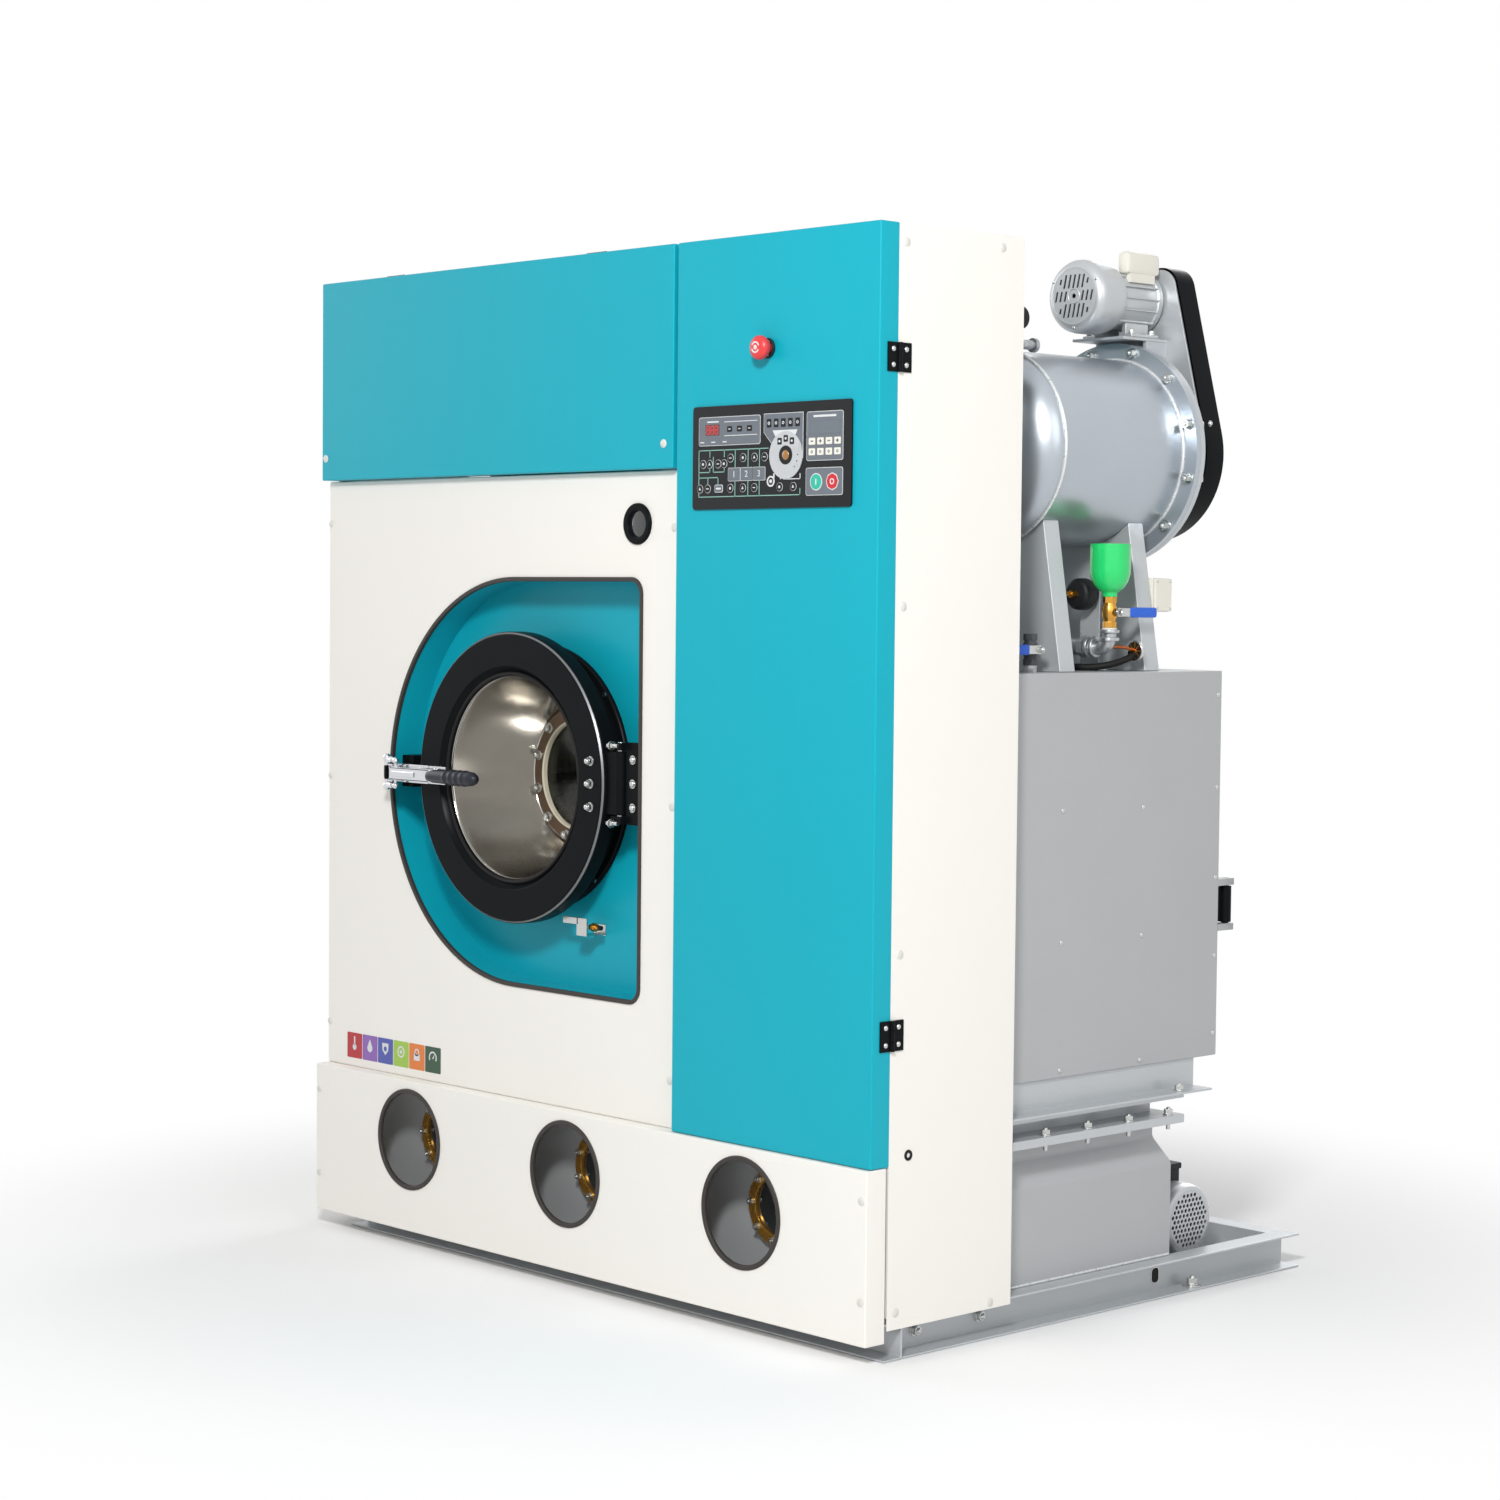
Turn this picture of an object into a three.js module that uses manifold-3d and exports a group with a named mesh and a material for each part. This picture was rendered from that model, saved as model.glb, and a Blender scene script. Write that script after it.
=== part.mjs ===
// A dry cleaning machine: a folded steel cabinet with a round loading door, and behind it the
// tub and drum, the solvent tank, the still, the disc filter and the pump, all on one channel frame.
//
// Millimetres, +Z up. x runs across the front (0 in the middle, + to the right of someone facing
// the machine), y runs from the front (0 at the face of the control door) to the back, and z
// starts at the floor. The finished group is moved so that its origin is the bottom centre.

import * as THREE from "three";
import { mergeVertices } from "three/addons/utils/BufferGeometryUtils.js";
import Module from "manifold-3d";

const wasm = await Module();
wasm.setup();

// ---------------------------------------------------------------- driving dimensions

const GAP = 0.3; // clearance between pieces that touch
const SHEET = 2; // cabinet sheet
const SMOOTH = 36; // sides of a large round
const ROUND = 18; // sides of a middling round
const SMALL = 12; // sides of a small round

const WIDTH = 1510;
const RIGHT = WIDTH / 2;
const LEFT = -RIGHT;
const TOP = 1832;
const FACE_DEPTH = 42; // fold depth of the door and the flip cover
const PANEL_REAR = 340; // back edge of the side panels

const RAIL = { height: 63, flange: 40, thick: 4, left: -702, right: 752.5, front: 38, rear: 1145 };

const PLINTH = { bottom: 32, top: 318, front: -8 };
const PORTHOLE = { x: [-455, 3, 461], z: 207, radius: 91 };

const DOOR_LEFT = 276; // left edge of the control door
const DOOR_BOTTOM = 319;
const COVER = { left: -753, right: 266, bottom: 1453, lip: 18 };
const FRONT_Y = 20; // face of the white front panel
const FRONT_RIGHT = 264;

// The D-shaped recess in the front panel.
const RECESS = { x: -182, z: 895, radius: 368, right: 166, corner: 25, back: 88 };

// The loading door, its axis and its rings.
const MOUTH = { x: -175, z: 904, throat: 215 };
const DOOR_RING = { outer: 265, step: 203, clear: 184, chamfer: 6, back: 34 };
const FRAME_RING = { outer: 243, neck: 229, front: 38, flange: 77, tail: 132, wall: 10 };
const DISH = { outer: 184, inner: 131, glass: 103, front: 14, rear: 176, wall: 2 };
const HINGE = { x: 112, y: 22, low: 852, high: 964, reach: 16, pin: 6, barrel: 11 };
const CLAMP = { x: -495, y: -18, z: 899, pin: [14, -5], bar: [-527, -9], rod: 4.5, spread: 23.5 };
const GRIP = { from: -366, to: -232, y: -27, radius: 13.5 };

// The tub, the drum inside it, and its drive.
const TUB = { radius: 430, front: 133, rear: 608, wall: 4, end: 8 };
const DRUM = { radius: 390, front: 160, rear: 570, wall: 3, lip: 215, shaft: 30, tail: 705 };
const DRIVE = { z: 392, radius: 70, front: 250, rear: 560, pulley: 45, wheel: 150, y: 681, shaft: 12 };

const TANK = { left: -700, right: 715, front: 85, rear: 811, top: 307.5, wall: 3 };
const SHOULDER = { run: 24, low: 232, high: 277 }; // the tank's sloping shoulder, its heights
const TANK_WALLS = [-226, 232]; // the two partitions

const STILL = { left: 275, right: 715, front: 345, rear: 935, bottom: 413, top: 1111, wall: 3 };
const STILL_DOOR = { x: 485, z: 685, radius: 190, mouth: 168, hingeX: 701, hingeY: 972 };
const STAND = { flange: 363, web: 709, rim: 308, rimTop: 323 };

const FILTER = { x: 538, z: 1501, radius: 169.5, flange: 200, dome: 70, front: 505, rear: 835, wall: 3 };
const SADDLES = { front: 515, rear: 743, bottom: 155, top: 110, topZ: 1384, fold: 40, thick: 5 };
const FILTER_MOTOR = { z: 1779, cover: 66, radius: 56, front: 716, fan: 789, rear: 900, shelf: 1709 };
const GUARD = { front: 907, rear: 955, low: 156, corner: 40, cornerZ: 1801, spread: 44, wall: 2 };
const FILTER_DRIVE = { wheel: 112, pulley: 38, y: 921, shaft: 12 };

const VALVE_HALF = 27; // half the length of a ball valve
const FUNNEL = { x: 688, y: 650, top: 1334, neck: 1242, radius: 35.6 };
const SIDE_VALVE = { x: 664, y: 470, z: 1150 };
const SWITCH = { x: 622, y: 650, z: 1246, radius: 28 }; // pressure switch
const PUMP = { x: 675, y: 916, z: 106, radius: 66, motor: 550, casing: 480 };

const PANEL = { x: 510, z: 1467, width: 377, height: 172 }; // control panel, centre and size
const ESTOP = { x: 500, z: 1643, radius: 20, travel: 5 };

// How far the machine reaches past its cabinet, for the origin.
const REACH = { front: GRIP.y - GRIP.radius, rear: RAIL.rear, left: LEFT, right: RIGHT };

// ---------------------------------------------------------------- finishes

const finish = (color, roughness, metalness) => ({ color, roughness, metalness });
const TEAL_PAINT = finish("#2dbacf", 0.35, 0);
const WHITE_PAINT = finish("#f4f2ec", 0.45, 0);
const GREY_PAINT = finish("#a9abad", 0.4, 0.3);
const SILVER_PAINT = finish("#b8bbbd", 0.35, 0.5);
const BLACK_PAINT = finish("#1b1d20", 0.4, 0.1);
const STAINLESS = finish("#c9c6c0", 0.22, 1);
const CHROME = finish("#d8dadd", 0.12, 1);
const BRONZE = finish("#a9743a", 0.35, 0.9);
const BRASS = finish("#c8963e", 0.3, 0.9);
const GALVANISED = finish("#b9bcbe", 0.45, 0.8);
const CAST_IRON = finish("#5b5f63", 0.6, 0.6);
const GLASS = finish("#2a3032", 0.08, 0);
const RUBBER = finish("#1f1f1f", 0.8, 0);
const GREEN_PLASTIC = finish("#1ed06c", 0.35, 0);
const BLUE_GRIP = finish("#1f5fd0", 0.45, 0);
const RED_PLASTIC = finish("#d83434", 0.35, 0);
const WHITE_PLASTIC = finish("#ecebe4", 0.5, 0);
const BLACK_PLASTIC = finish("#202226", 0.55, 0);

// ---------------------------------------------------------------- solids

// A closed geometry as a solid that can be joined and cut, turned the right way out.
function solid(geometry) {
  const flat = geometry.index ? geometry.toNonIndexed() : geometry;
  const bare = new THREE.BufferGeometry().setAttribute("position", flat.getAttribute("position"));
  const merged = mergeVertices(bare, 1e-4);
  const kept = [];
  for (let i = 0; i < merged.index.count; i += 3) {
    const corner = [0, 1, 2].map((k) => merged.index.getX(i + k));
    if (new Set(corner).size === 3) kept.push(corner);
  }
  const make = (corners) =>
    new wasm.Manifold(
      new wasm.Mesh({
        numProp: 3,
        vertProperties: merged.attributes.position.array,
        triVerts: new Uint32Array(corners.flat()),
      }),
    );
  const made = make(kept);
  return made.volume() > 0 ? made : make(kept.map(([a, b, c]) => [a, c, b]));
}

const join = (first, ...rest) => rest.reduce((whole, piece) => whole.add(piece), first);
const cut = (first, ...tools) => tools.reduce((whole, tool) => whole.subtract(tool), first);

// A box between two values on each axis.
function block([x0, x1], [y0, y1], [z0, z1]) {
  const shape = new THREE.BoxGeometry(x1 - x0, y1 - y0, z1 - z0);
  return solid(shape.translate((x0 + x1) / 2, (y0 + y1) / 2, (z0 + z1) / 2));
}

// The directions that a section's own x, y and depth take when it is drawn out along an axis.
const WAYS = {
  x: [[0, 1, 0], [0, 0, 1], [1, 0, 0]],
  y: [[1, 0, 0], [0, 0, 1], [0, 1, 0]],
  z: [[1, 0, 0], [0, 1, 0], [0, 0, 1]],
};

function along(axis) {
  const [across, up, out] = WAYS[axis].map((way) => new THREE.Vector3(...way));
  return new THREE.Matrix4().makeBasis(across, up, out);
}

// A flat outline drawn out along an axis, from one value to another.
function slab(axis, outline, from, to) {
  const settings = { depth: to - from, bevelEnabled: false };
  const shape = new THREE.ExtrudeGeometry(outline, settings).translate(0, 0, from);
  return solid(shape.applyMatrix4(along(axis)));
}

// A straight-sided outline through the points given.
function polygon(points) {
  return new THREE.Shape(points.map(([u, v]) => new THREE.Vector2(u, v)));
}

// A round bar along an axis, at a centre given on the other two axes.
function rod(axis, radius, from, to, [u, v], sides = ROUND, endRadius = radius) {
  const shape = new THREE.CylinderGeometry(endRadius, radius, to - from, sides);
  shape.rotateX(Math.PI / 2).translate(u, v, (from + to) / 2);
  return solid(shape.applyMatrix4(along(axis)));
}

// A profile of [radius, place along the axis] points, turned about an axis.
function turned(axis, profile, [u, v], sides = SMOOTH) {
  const points = profile.map(([radius, place]) => new THREE.Vector2(radius, place));
  const shape = new THREE.LatheGeometry(points, sides);
  shape.rotateX(Math.PI / 2).translate(u, v, 0);
  return solid(shape.applyMatrix4(along(axis)));
}

// A ring's profile, closed on itself.
function ringProfile(inner, outer, from, to) {
  return [[inner, from], [outer, from], [outer, to], [inner, to], [inner, from]];
}

const group = new THREE.Group();

// Adds a solid to the machine as one named mesh with its own material.
function place(name, shape, look) {
  const made = shape.getMesh();
  const geometry = new THREE.BufferGeometry();
  geometry.setAttribute("position", new THREE.BufferAttribute(made.vertProperties, 3));
  geometry.setIndex(new THREE.BufferAttribute(made.triVerts, 1));
  const mesh = new THREE.Mesh(geometry, new THREE.MeshStandardMaterial(look));
  mesh.name = name;
  group.add(mesh);
}

// ---------------------------------------------------------------- base frame

// A rolled channel's section: its web stands at `back`, its two flanges reach to `tip`.
function channel(back, tip) {
  const inward = Math.sign(tip - back) * RAIL.thick;
  const { height, thick } = RAIL;
  return polygon([
    [tip, 0],
    [back, 0],
    [back, height],
    [tip, height],
    [tip, height - thick],
    [back + inward, height - thick],
    [back + inward, thick],
    [tip, thick],
  ]);
}

function baseFrame() {
  const { left, right, front, rear, flange, thick } = RAIL;
  const depth = flange + thick;
  const sideFront = front + depth + GAP;
  const frontRail = slab("x", channel(front + depth, front), left, right);
  place("base_front_rail", frontRail, SILVER_PAINT);
  const rearRail = slab("x", channel(rear - depth, rear), left + depth + GAP, right - depth - GAP);
  place("base_rear_rail", rearRail, SILVER_PAINT);
  place("base_left_rail", slab("y", channel(left + depth, left), sideFront, rear), SILVER_PAINT);
  const shelf = block([440, right - depth + 1], [PUMP.y - 40, PUMP.y + 40], [20, 26]);
  const rail = slab("y", channel(right - depth, right), sideFront, rear);
  place("base_right_rail", join(rail, shelf), SILVER_PAINT);
}

// ---------------------------------------------------------------- cabinet

function plinthPanel() {
  const { bottom, top, front } = PLINTH;
  const folded = foldedPan([LEFT, RIGHT], [bottom, top], [front, FACE_DEPTH], RAIL.front - 2);
  const holes = PORTHOLE.x.map((x) => rod("y", PORTHOLE.radius, -20, 20, [x, PORTHOLE.z], SMOOTH));
  place("plinth_panel", cut(folded, ...holes), WHITE_PAINT);
}

// Points along an arc, its two ends included.
function arc([u, v], radius, from, to, steps) {
  return Array.from({ length: steps + 1 }, (_, i) => {
    const turn = from + ((to - from) * i) / steps;
    return [u + radius * Math.cos(turn), v + radius * Math.sin(turn)];
  });
}

// The outline of the D-shaped recess, grown outwards by an amount.
function recessOutline(grow) {
  const { x, z, radius, right, corner } = RECESS;
  const turn = corner + grow;
  const inset = right - corner;
  const rise = radius - corner;
  const quarter = Math.PI / 2;
  return polygon([
    ...arc([inset, z - rise], turn, -quarter, 0, 4),
    ...arc([inset, z + rise], turn, 0, quarter, 4),
    ...arc([x, z], radius + grow, quarter, quarter * 3, SMOOTH / 2),
  ]);
}

const WINDOW = { x: 156, z: 1360, radius: 30 };

function frontPanel() {
  const top = COVER.bottom - 2;
  const bottom = PLINTH.top + GAP;
  const panel = cut(
    block([LEFT, FRONT_RIGHT], [FRONT_Y, FACE_DEPTH - GAP], [bottom, top]),
    block([LEFT + SHEET, FRONT_RIGHT - SHEET], [FRONT_Y + SHEET, 60], [bottom - 1, top + 1]),
  );
  const tongue = block([LEFT + 10, FRONT_RIGHT - 6], [FRONT_Y + 0.3, FRONT_Y + 1.7], [top - 5, top + 28]);
  const recess = slab("y", recessOutline(0), 0, FACE_DEPTH);
  const window = rod("y", WINDOW.radius, 0, FACE_DEPTH, [WINDOW.x, WINDOW.z]);
  place("front_panel", cut(join(panel, tongue), recess, window), WHITE_PAINT);

  const glass = join(
    rod("y", WINDOW.radius + 4, FRONT_Y - 4, FRONT_Y - GAP, [WINDOW.x, WINDOW.z]),
    rod("y", WINDOW.radius - GAP, FRONT_Y - 2, FRONT_Y + 24, [WINDOW.x, WINDOW.z]),
  );
  place("front_sight_glass", glass, GLASS);
}

function recessPan() {
  const front = FRONT_Y + SHEET + GAP;
  const outer = slab("y", recessOutline(3), front, RECESS.back + SHEET);
  const flange = slab("y", recessOutline(18), front, front + SHEET);
  const hollow = slab("y", recessOutline(1), front - 1, RECESS.back);
  const hole = rod("y", MOUTH.throat + 12, 60, 120, [MOUTH.x, MOUTH.z], SMOOTH);
  place("recess_pan", cut(join(outer, flange), hollow, hole), TEAL_PAINT);
}

// A side panel with its front and rear edges folded in; the folds stop short of the base frame.
function sidePanel(name, outside, inward) {
  const bottom = PLINTH.bottom + 20;
  const across = (from, to) => {
    const ends = [outside + inward * from, outside + inward * to];
    return [Math.min(...ends), Math.max(...ends)];
  };
  const front = FACE_DEPTH + GAP;
  const panel = cut(
    block(across(0, 30), [front, PANEL_REAR], [bottom, TOP]),
    block(across(SHEET, 40), [front + SHEET, PANEL_REAR - SHEET], [0, TOP + 10]),
    block(across(SHEET + 0.2, 40), [0, PANEL_REAR + 10], [0, RAIL.height + 10]),
  );
  place(name, panel, WHITE_PAINT);
}

function topPanel() {
  const front = FACE_DEPTH + 4;
  const rear = PANEL_REAR - SHEET - GAP;
  const low = TOP - 30;
  const high = TOP - SHEET;
  const section = polygon([
    [front, low],
    [front + SHEET, low],
    [front + SHEET, high - SHEET],
    [rear - SHEET, high - SHEET],
    [rear - SHEET, low],
    [rear, low],
    [rear, high],
    [front, high],
  ]);
  const tray = slab("x", section, LEFT + 34, RIGHT - 34);
  const edge = SHEET + GAP;
  const lid = block([LEFT + edge, RIGHT - edge], [front + 0.3, rear - 0.3], [high - 1.7, high - 0.3]);
  place("top_panel", join(tray, lid), WHITE_PAINT);
}

function cabinet() {
  plinthPanel();
  frontPanel();
  recessPan();
  sidePanel("left_side_panel", LEFT, 1);
  sidePanel("right_side_panel", RIGHT, -1);
  topPanel();
}

// A folded pan: a face with a return on each side. The bottom return stops at a depth of its own.
function foldedPan([x0, x1], [z0, z1], [front, back], bottomBack) {
  const wall = SHEET;
  return cut(
    block([x0, x1], [front, back], [z0, z1]),
    block([x0 + wall, x1 - wall], [front + wall, back + 5], [z0 + wall, z1 - wall]),
    block([x0 + wall + 1, x1 - wall - 1], [bottomBack, back + 4], [z0 - 5, z0 + wall + 1]),
  );
}

function flipCover() {
  const { left, right, bottom, lip } = COVER;
  const cover = foldedPan([left, right], [bottom, TOP], [0, FACE_DEPTH], lip);
  place("flip_cover", cover, TEAL_PAINT);
}

function controlDoor() {
  const door = foldedPan([DOOR_LEFT, RIGHT], [DOOR_BOTTOM, TOP], [0, FACE_DEPTH], FACE_DEPTH - 2);
  const boxHalf = [PANEL.width / 2 - 18, PANEL.height / 2 - 16];
  const opening = block(
    [PANEL.x - boxHalf[0] - 2, PANEL.x + boxHalf[0] + 2],
    [-10, 10],
    [PANEL.z - boxHalf[1] - 2, PANEL.z + boxHalf[1] + 2],
  );
  const stemHole = rod("y", 12, -10, 10, [ESTOP.x, ESTOP.z]);
  place("control_door", cut(door, opening, stemHole), TEAL_PAINT);

  const panel = join(
    block(
      [PANEL.x - PANEL.width / 2, PANEL.x + PANEL.width / 2],
      [-4, -GAP],
      [PANEL.z - PANEL.height / 2, PANEL.z + PANEL.height / 2],
    ),
    block(
      [PANEL.x - boxHalf[0], PANEL.x + boxHalf[0]],
      [-2, 34],
      [PANEL.z - boxHalf[1], PANEL.z + boxHalf[1]],
    ),
  );
  place("control_panel", panel, BLACK_PLASTIC);

  const button = turned(
    "y",
    [[0, -30], [14, -29], [ESTOP.radius, -25], [ESTOP.radius, -16], [16, -10], [11, -10], [11, 24], [0, 24]],
    [ESTOP.x, ESTOP.z],
    ROUND,
  );
  place("estop_button", button, RED_PLASTIC);
}

// ---------------------------------------------------------------- loading door

function doorFrameRing() {
  const { outer, neck, front, flange, tail, wall } = FRAME_RING;
  const seat = RECESS.back - GAP;
  const tube = MOUTH.throat + wall;
  const profile = [
    [MOUTH.throat, front],
    [neck, front],
    [neck, flange],
    [outer, flange],
    [outer, seat],
    [tube, seat],
    [tube, tail],
    [MOUTH.throat, tail],
    [MOUTH.throat, front],
  ];
  place("door_frame_ring", turned("y", profile, [MOUTH.x, MOUTH.z]), BLACK_PAINT);
}

function doorRing() {
  const { outer, step, clear, chamfer, back } = DOOR_RING;
  const profile = [
    [clear, 12],
    [step - 6, 12],
    [step, 0],
    [outer - chamfer, 0],
    [outer, chamfer],
    [outer, back],
    [step + 2, back],
    [step + 2, DISH.front + DISH.wall + GAP],
    [step + 2, DISH.front - GAP],
    [clear, DISH.front - GAP],
    [clear, 12],
  ];
  const ring = turned("y", profile, [MOUTH.x, MOUTH.z]);
  const { x, y, low, high, reach, pin, barrel } = HINGE;
  const arm = block([x - 34, x], [y - 11, y + 11], [low, high]);
  const body = join(ring, cut(arm, rod("y", outer - 4, -10, 60, [MOUTH.x, MOUTH.z], SMOOTH)));
  const knuckle = join(
    rod("z", barrel, low, high, [x, y], ROUND),
    rod("z", pin, low - reach, high + reach, [x, y], ROUND),
  );
  place("door_ring", join(body, knuckle), BLACK_PAINT);
}

function doorDish() {
  const { outer, inner, glass, front, rear, wall } = DISH;
  const lip = DOOR_RING.step + 1.5;
  const profile = [
    [lip, front],
    [outer, front],
    [inner, rear - wall],
    [glass, rear - wall],
    [glass, rear],
    [inner + wall, rear],
    [outer + wall, front + wall],
    [lip, front + wall],
    [lip, front],
  ];
  place("door_dish", turned("y", profile, [MOUTH.x, MOUTH.z]), STAINLESS);

  const ringRear = rear - wall - GAP;
  const ring = turned("y", ringProfile(glass, inner - 4, ringRear - 7, ringRear), [MOUTH.x, MOUTH.z]);
  place("door_glass_ring", ring, BRONZE);
  const pane = rod("y", inner - 6, rear + GAP, rear + 10, [MOUTH.x, MOUTH.z], SMOOTH);
  place("door_sight_glass", pane, GLASS);
}

function doorHinge() {
  const { x, y, low, high, reach, pin, barrel } = HINGE;
  const wall = RECESS.right - 0.5;
  const plateX = [x + barrel + 3, wall];
  const zs = [low - reach, high + reach];
  const bracket = join(
    block(plateX, [y, y + 8], zs),
    block([wall - 8, wall], [y + 0.5, RECESS.back - GAP], [zs[0] + 0.5, zs[1] - 0.5]),
    block([x - 12, plateX[0] + 1], [y - 12, y + 12], [high + 2, high + reach - 1]),
    block([x - 12, plateX[0] + 1], [y - 12, y + 12], [low - reach + 1, low - 2]),
  );
  const bore = rod("z", pin + 0.6, low - 30, high + 30, [x, y], ROUND);
  place("door_hinge_bracket", cut(bracket, bore), BLACK_PAINT);
}

// The toggle clamp: a base on the door ring, a lever with a ribbed grip, and a U-bolt.
function doorClamp() {
  clampBase();
  clampLever();
  clampBolt();
  clampCatch();
}

function clampBase() {
  const { x, y, z } = CLAMP;
  const ear = 17;
  const side = (low) => block([x - 7, x + 7], [y - 8, -6.5], [z + low, z + low + 3]);
  const base = join(
    block([-438, -350], [-7, -GAP], [z - ear + 0.5, z + ear - 0.5]),
    block([x - 8, -400], [-9, -5], [z - ear, z + ear]),
    side(-ear + 0.5),
    side(ear - 3.5),
    rod("z", 3, z - ear + 1, z + ear - 1, [x, y], SMALL),
  );
  place("clamp_base", base, CHROME);
}

function clampLever() {
  const { x, y, z, pin } = CLAMP;
  const half = 12;
  const wall = 3;
  const skirt = join(
    block([x, GRIP.from + 6], [-34, -12], [z - half, z + half]),
    rod("z", 8.2, z - half + 0.3, z + half - 0.3, [x, y], SMALL),
  );
  const trough = block([x - 12, GRIP.from - 12], [-31, -8], [z - half + wall, z + half - wall]);
  const pivotHole = rod("z", 3.6, z - half - 1, z + half + 1, [x, y], SMALL);
  const boltHole = rod("z", 3.6, z - half - 1, z + half + 1, [x + pin[0], y + pin[1]], SMALL);
  const grip = turned(
    "x",
    [
      [0, GRIP.from - 8],
      [9, GRIP.from - 8],
      [12, GRIP.from],
      [GRIP.radius, GRIP.from + 50],
      [GRIP.radius, GRIP.to - 14],
      [10, GRIP.to - 3],
      [0, GRIP.to],
    ],
    [GRIP.y, z],
    16,
  );
  place("clamp_lever", join(cut(skirt, trough, pivotHole, boltHole), grip), CHROME);
}

function clampBolt() {
  const { x, y, z, pin, bar, rod: wire, spread } = CLAMP;
  const from = new THREE.Vector2(x + pin[0], y + pin[1]);
  const to = new THREE.Vector2(...bar);
  const middle = from.clone().add(to).multiplyScalar(0.5);
  const run = to.clone().sub(from);
  const arms = [z - spread, z + spread].map((height) => {
    const shape = new THREE.CylinderGeometry(wire, wire, run.length(), SMALL);
    shape.rotateZ(run.angle() - Math.PI / 2).translate(middle.x, middle.y, height);
    return solid(shape);
  });
  const reach = spread + wire;
  const bolt = join(
    rod("z", wire + 0.3, z - reach, z + reach, bar, SMALL),
    rod("z", 3, z - spread, z + spread, [from.x, from.y], SMALL),
    ...arms,
  );
  place("clamp_bolt", bolt, CHROME);
}

// The fixed block whose open notch takes the bolt's bar.
function clampCatch() {
  const { z, bar } = CLAMP;
  const seat = CLAMP.rod + 2;
  const outline = polygon([
    [-538, 70],
    [-538, bar[1]],
    [bar[0] - seat, bar[1] + seat],
    [bar[0] + seat, bar[1] + seat],
    [bar[0] + seat + 1.6, -22],
    [-513, -22],
    [-513, 70],
  ]);
  const foot = block([-545, -510], [40, RECESS.back - GAP], [z - 30, z + 30]);
  place("clamp_catch", join(slab("z", outline, z - 13, z + 13), foot), BLACK_PAINT);
}

// ---------------------------------------------------------------- tub, drum and drive

function drumTub() {
  const { radius, front, rear, wall, end } = TUB;
  const centre = [MOUTH.x, MOUTH.z];
  const legs = [-1, 1].map((side) => {
    const x = MOUTH.x + side * 270;
    return join(
      block([x - 5, x + 5], [front + 60, rear - 40], [TANK.top + 1, MOUTH.z - 250]),
      block([x - 25, x + 25], [front + 61, rear - 41], [TANK.top + GAP, TANK.top + 8]),
    );
  });
  const shell = join(rod("y", radius, front, rear, centre, SMOOTH), ...legs);
  const hub = rod("y", 75, rear - 12, 655, centre, ROUND);
  const hollow = rod("y", radius - wall, front + wall, rear - end, centre, SMOOTH);
  const mouth = rod("y", MOUTH.throat + 12, front - 10, front + 20, centre, SMOOTH);
  const bore = rod("y", DRUM.shaft + 0.8, rear - 40, 700, centre, ROUND);
  const inner = rod("y", 76, rear - 30, rear - end, centre, SMOOTH);
  place("drum_tub", cut(join(cut(shell, hollow), cut(hub, inner)), mouth, bore), GREY_PAINT);
}

function drumCage() {
  const { radius, front, rear, wall, lip, shaft, tail } = DRUM;
  const centre = [MOUTH.x, MOUTH.z];
  const profile = [
    [0, rear - wall],
    [radius - wall, rear - wall],
    [radius - wall, front + wall],
    [lip, front + wall],
    [lip, front],
    [radius, front],
    [radius, rear],
    [60, rear],
    [60, rear + 14],
    [shaft, rear + 14],
    [shaft, tail],
    [0, tail],
  ];
  const cage = turned("y", profile, centre);
  const lifters = [0, 1, 2].map((step) => {
    const outline = polygon([[-34, radius - 2], [-8, radius - 70], [8, radius - 70], [34, radius - 2]]);
    const settings = { depth: rear - front - 2 * wall + 2, bevelEnabled: false };
    const shape = new THREE.ExtrudeGeometry(outline, settings);
    shape.rotateZ((step * Math.PI * 2) / 3).translate(MOUTH.x, MOUTH.z, front + wall - 1);
    const rib = solid(shape.applyMatrix4(along("y")));
    return rib.intersect(rod("y", radius - 1, front + 1, rear - 1, centre, SMOOTH));
  });
  place("drum_cage", join(cage, ...lifters), STAINLESS);
}

// A belt pulley's profile: a hub, a web and a rim with one groove.
function pulleyProfile(bore, groove, y) {
  const rim = groove + 9;
  const hub = bore + 14;
  const well = groove - 8;
  return [
    [bore, y - 8],
    [hub, y - 8],
    [hub, y],
    [well, y],
    [well, y - 9],
    [rim, y - 9],
    [rim, y - 1],
    [groove, y],
    [groove, y + 10],
    [rim, y + 11],
    [rim, y + 19],
    [well, y + 19],
    [well, y + 10],
    [hub, y + 10],
    [hub, y + 18],
    [bore, y + 18],
    [bore, y - 8],
  ];
}

// A small pulley with its own shaft end, from the motor to the groove.
function shaftPulleyProfile(shaft, groove, y, root) {
  const rim = groove + 9;
  return [
    [0, root],
    [shaft, root],
    [shaft, y - 9],
    [rim, y - 9],
    [rim, y - 1],
    [groove, y],
    [groove, y + 10],
    [rim, y + 11],
    [rim, y + 19],
    [0, y + 19],
  ];
}

// The loop round two circles, one above the other, as a belt or a guard goes. With a spread, its
// top is flat between two corners.
function loopOutline(x, [lowZ, low], [highZ, high], spread = 0) {
  const rise = highZ - lowZ;
  const tilt = Math.asin((low - high) / Math.hypot(spread, rise)) - Math.atan2(spread, rise);
  const quarter = Math.PI / 2;
  const farCorner = arc([x - spread, highZ], high, quarter, Math.PI - tilt, ROUND / 2);
  return polygon([
    ...arc([x + spread, highZ], high, tilt, quarter, ROUND / 2),
    ...(spread ? farCorner : farCorner.slice(1)),
    ...arc([x, lowZ], low, Math.PI - tilt, Math.PI * 2 + tilt, ROUND),
  ]);
}

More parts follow.
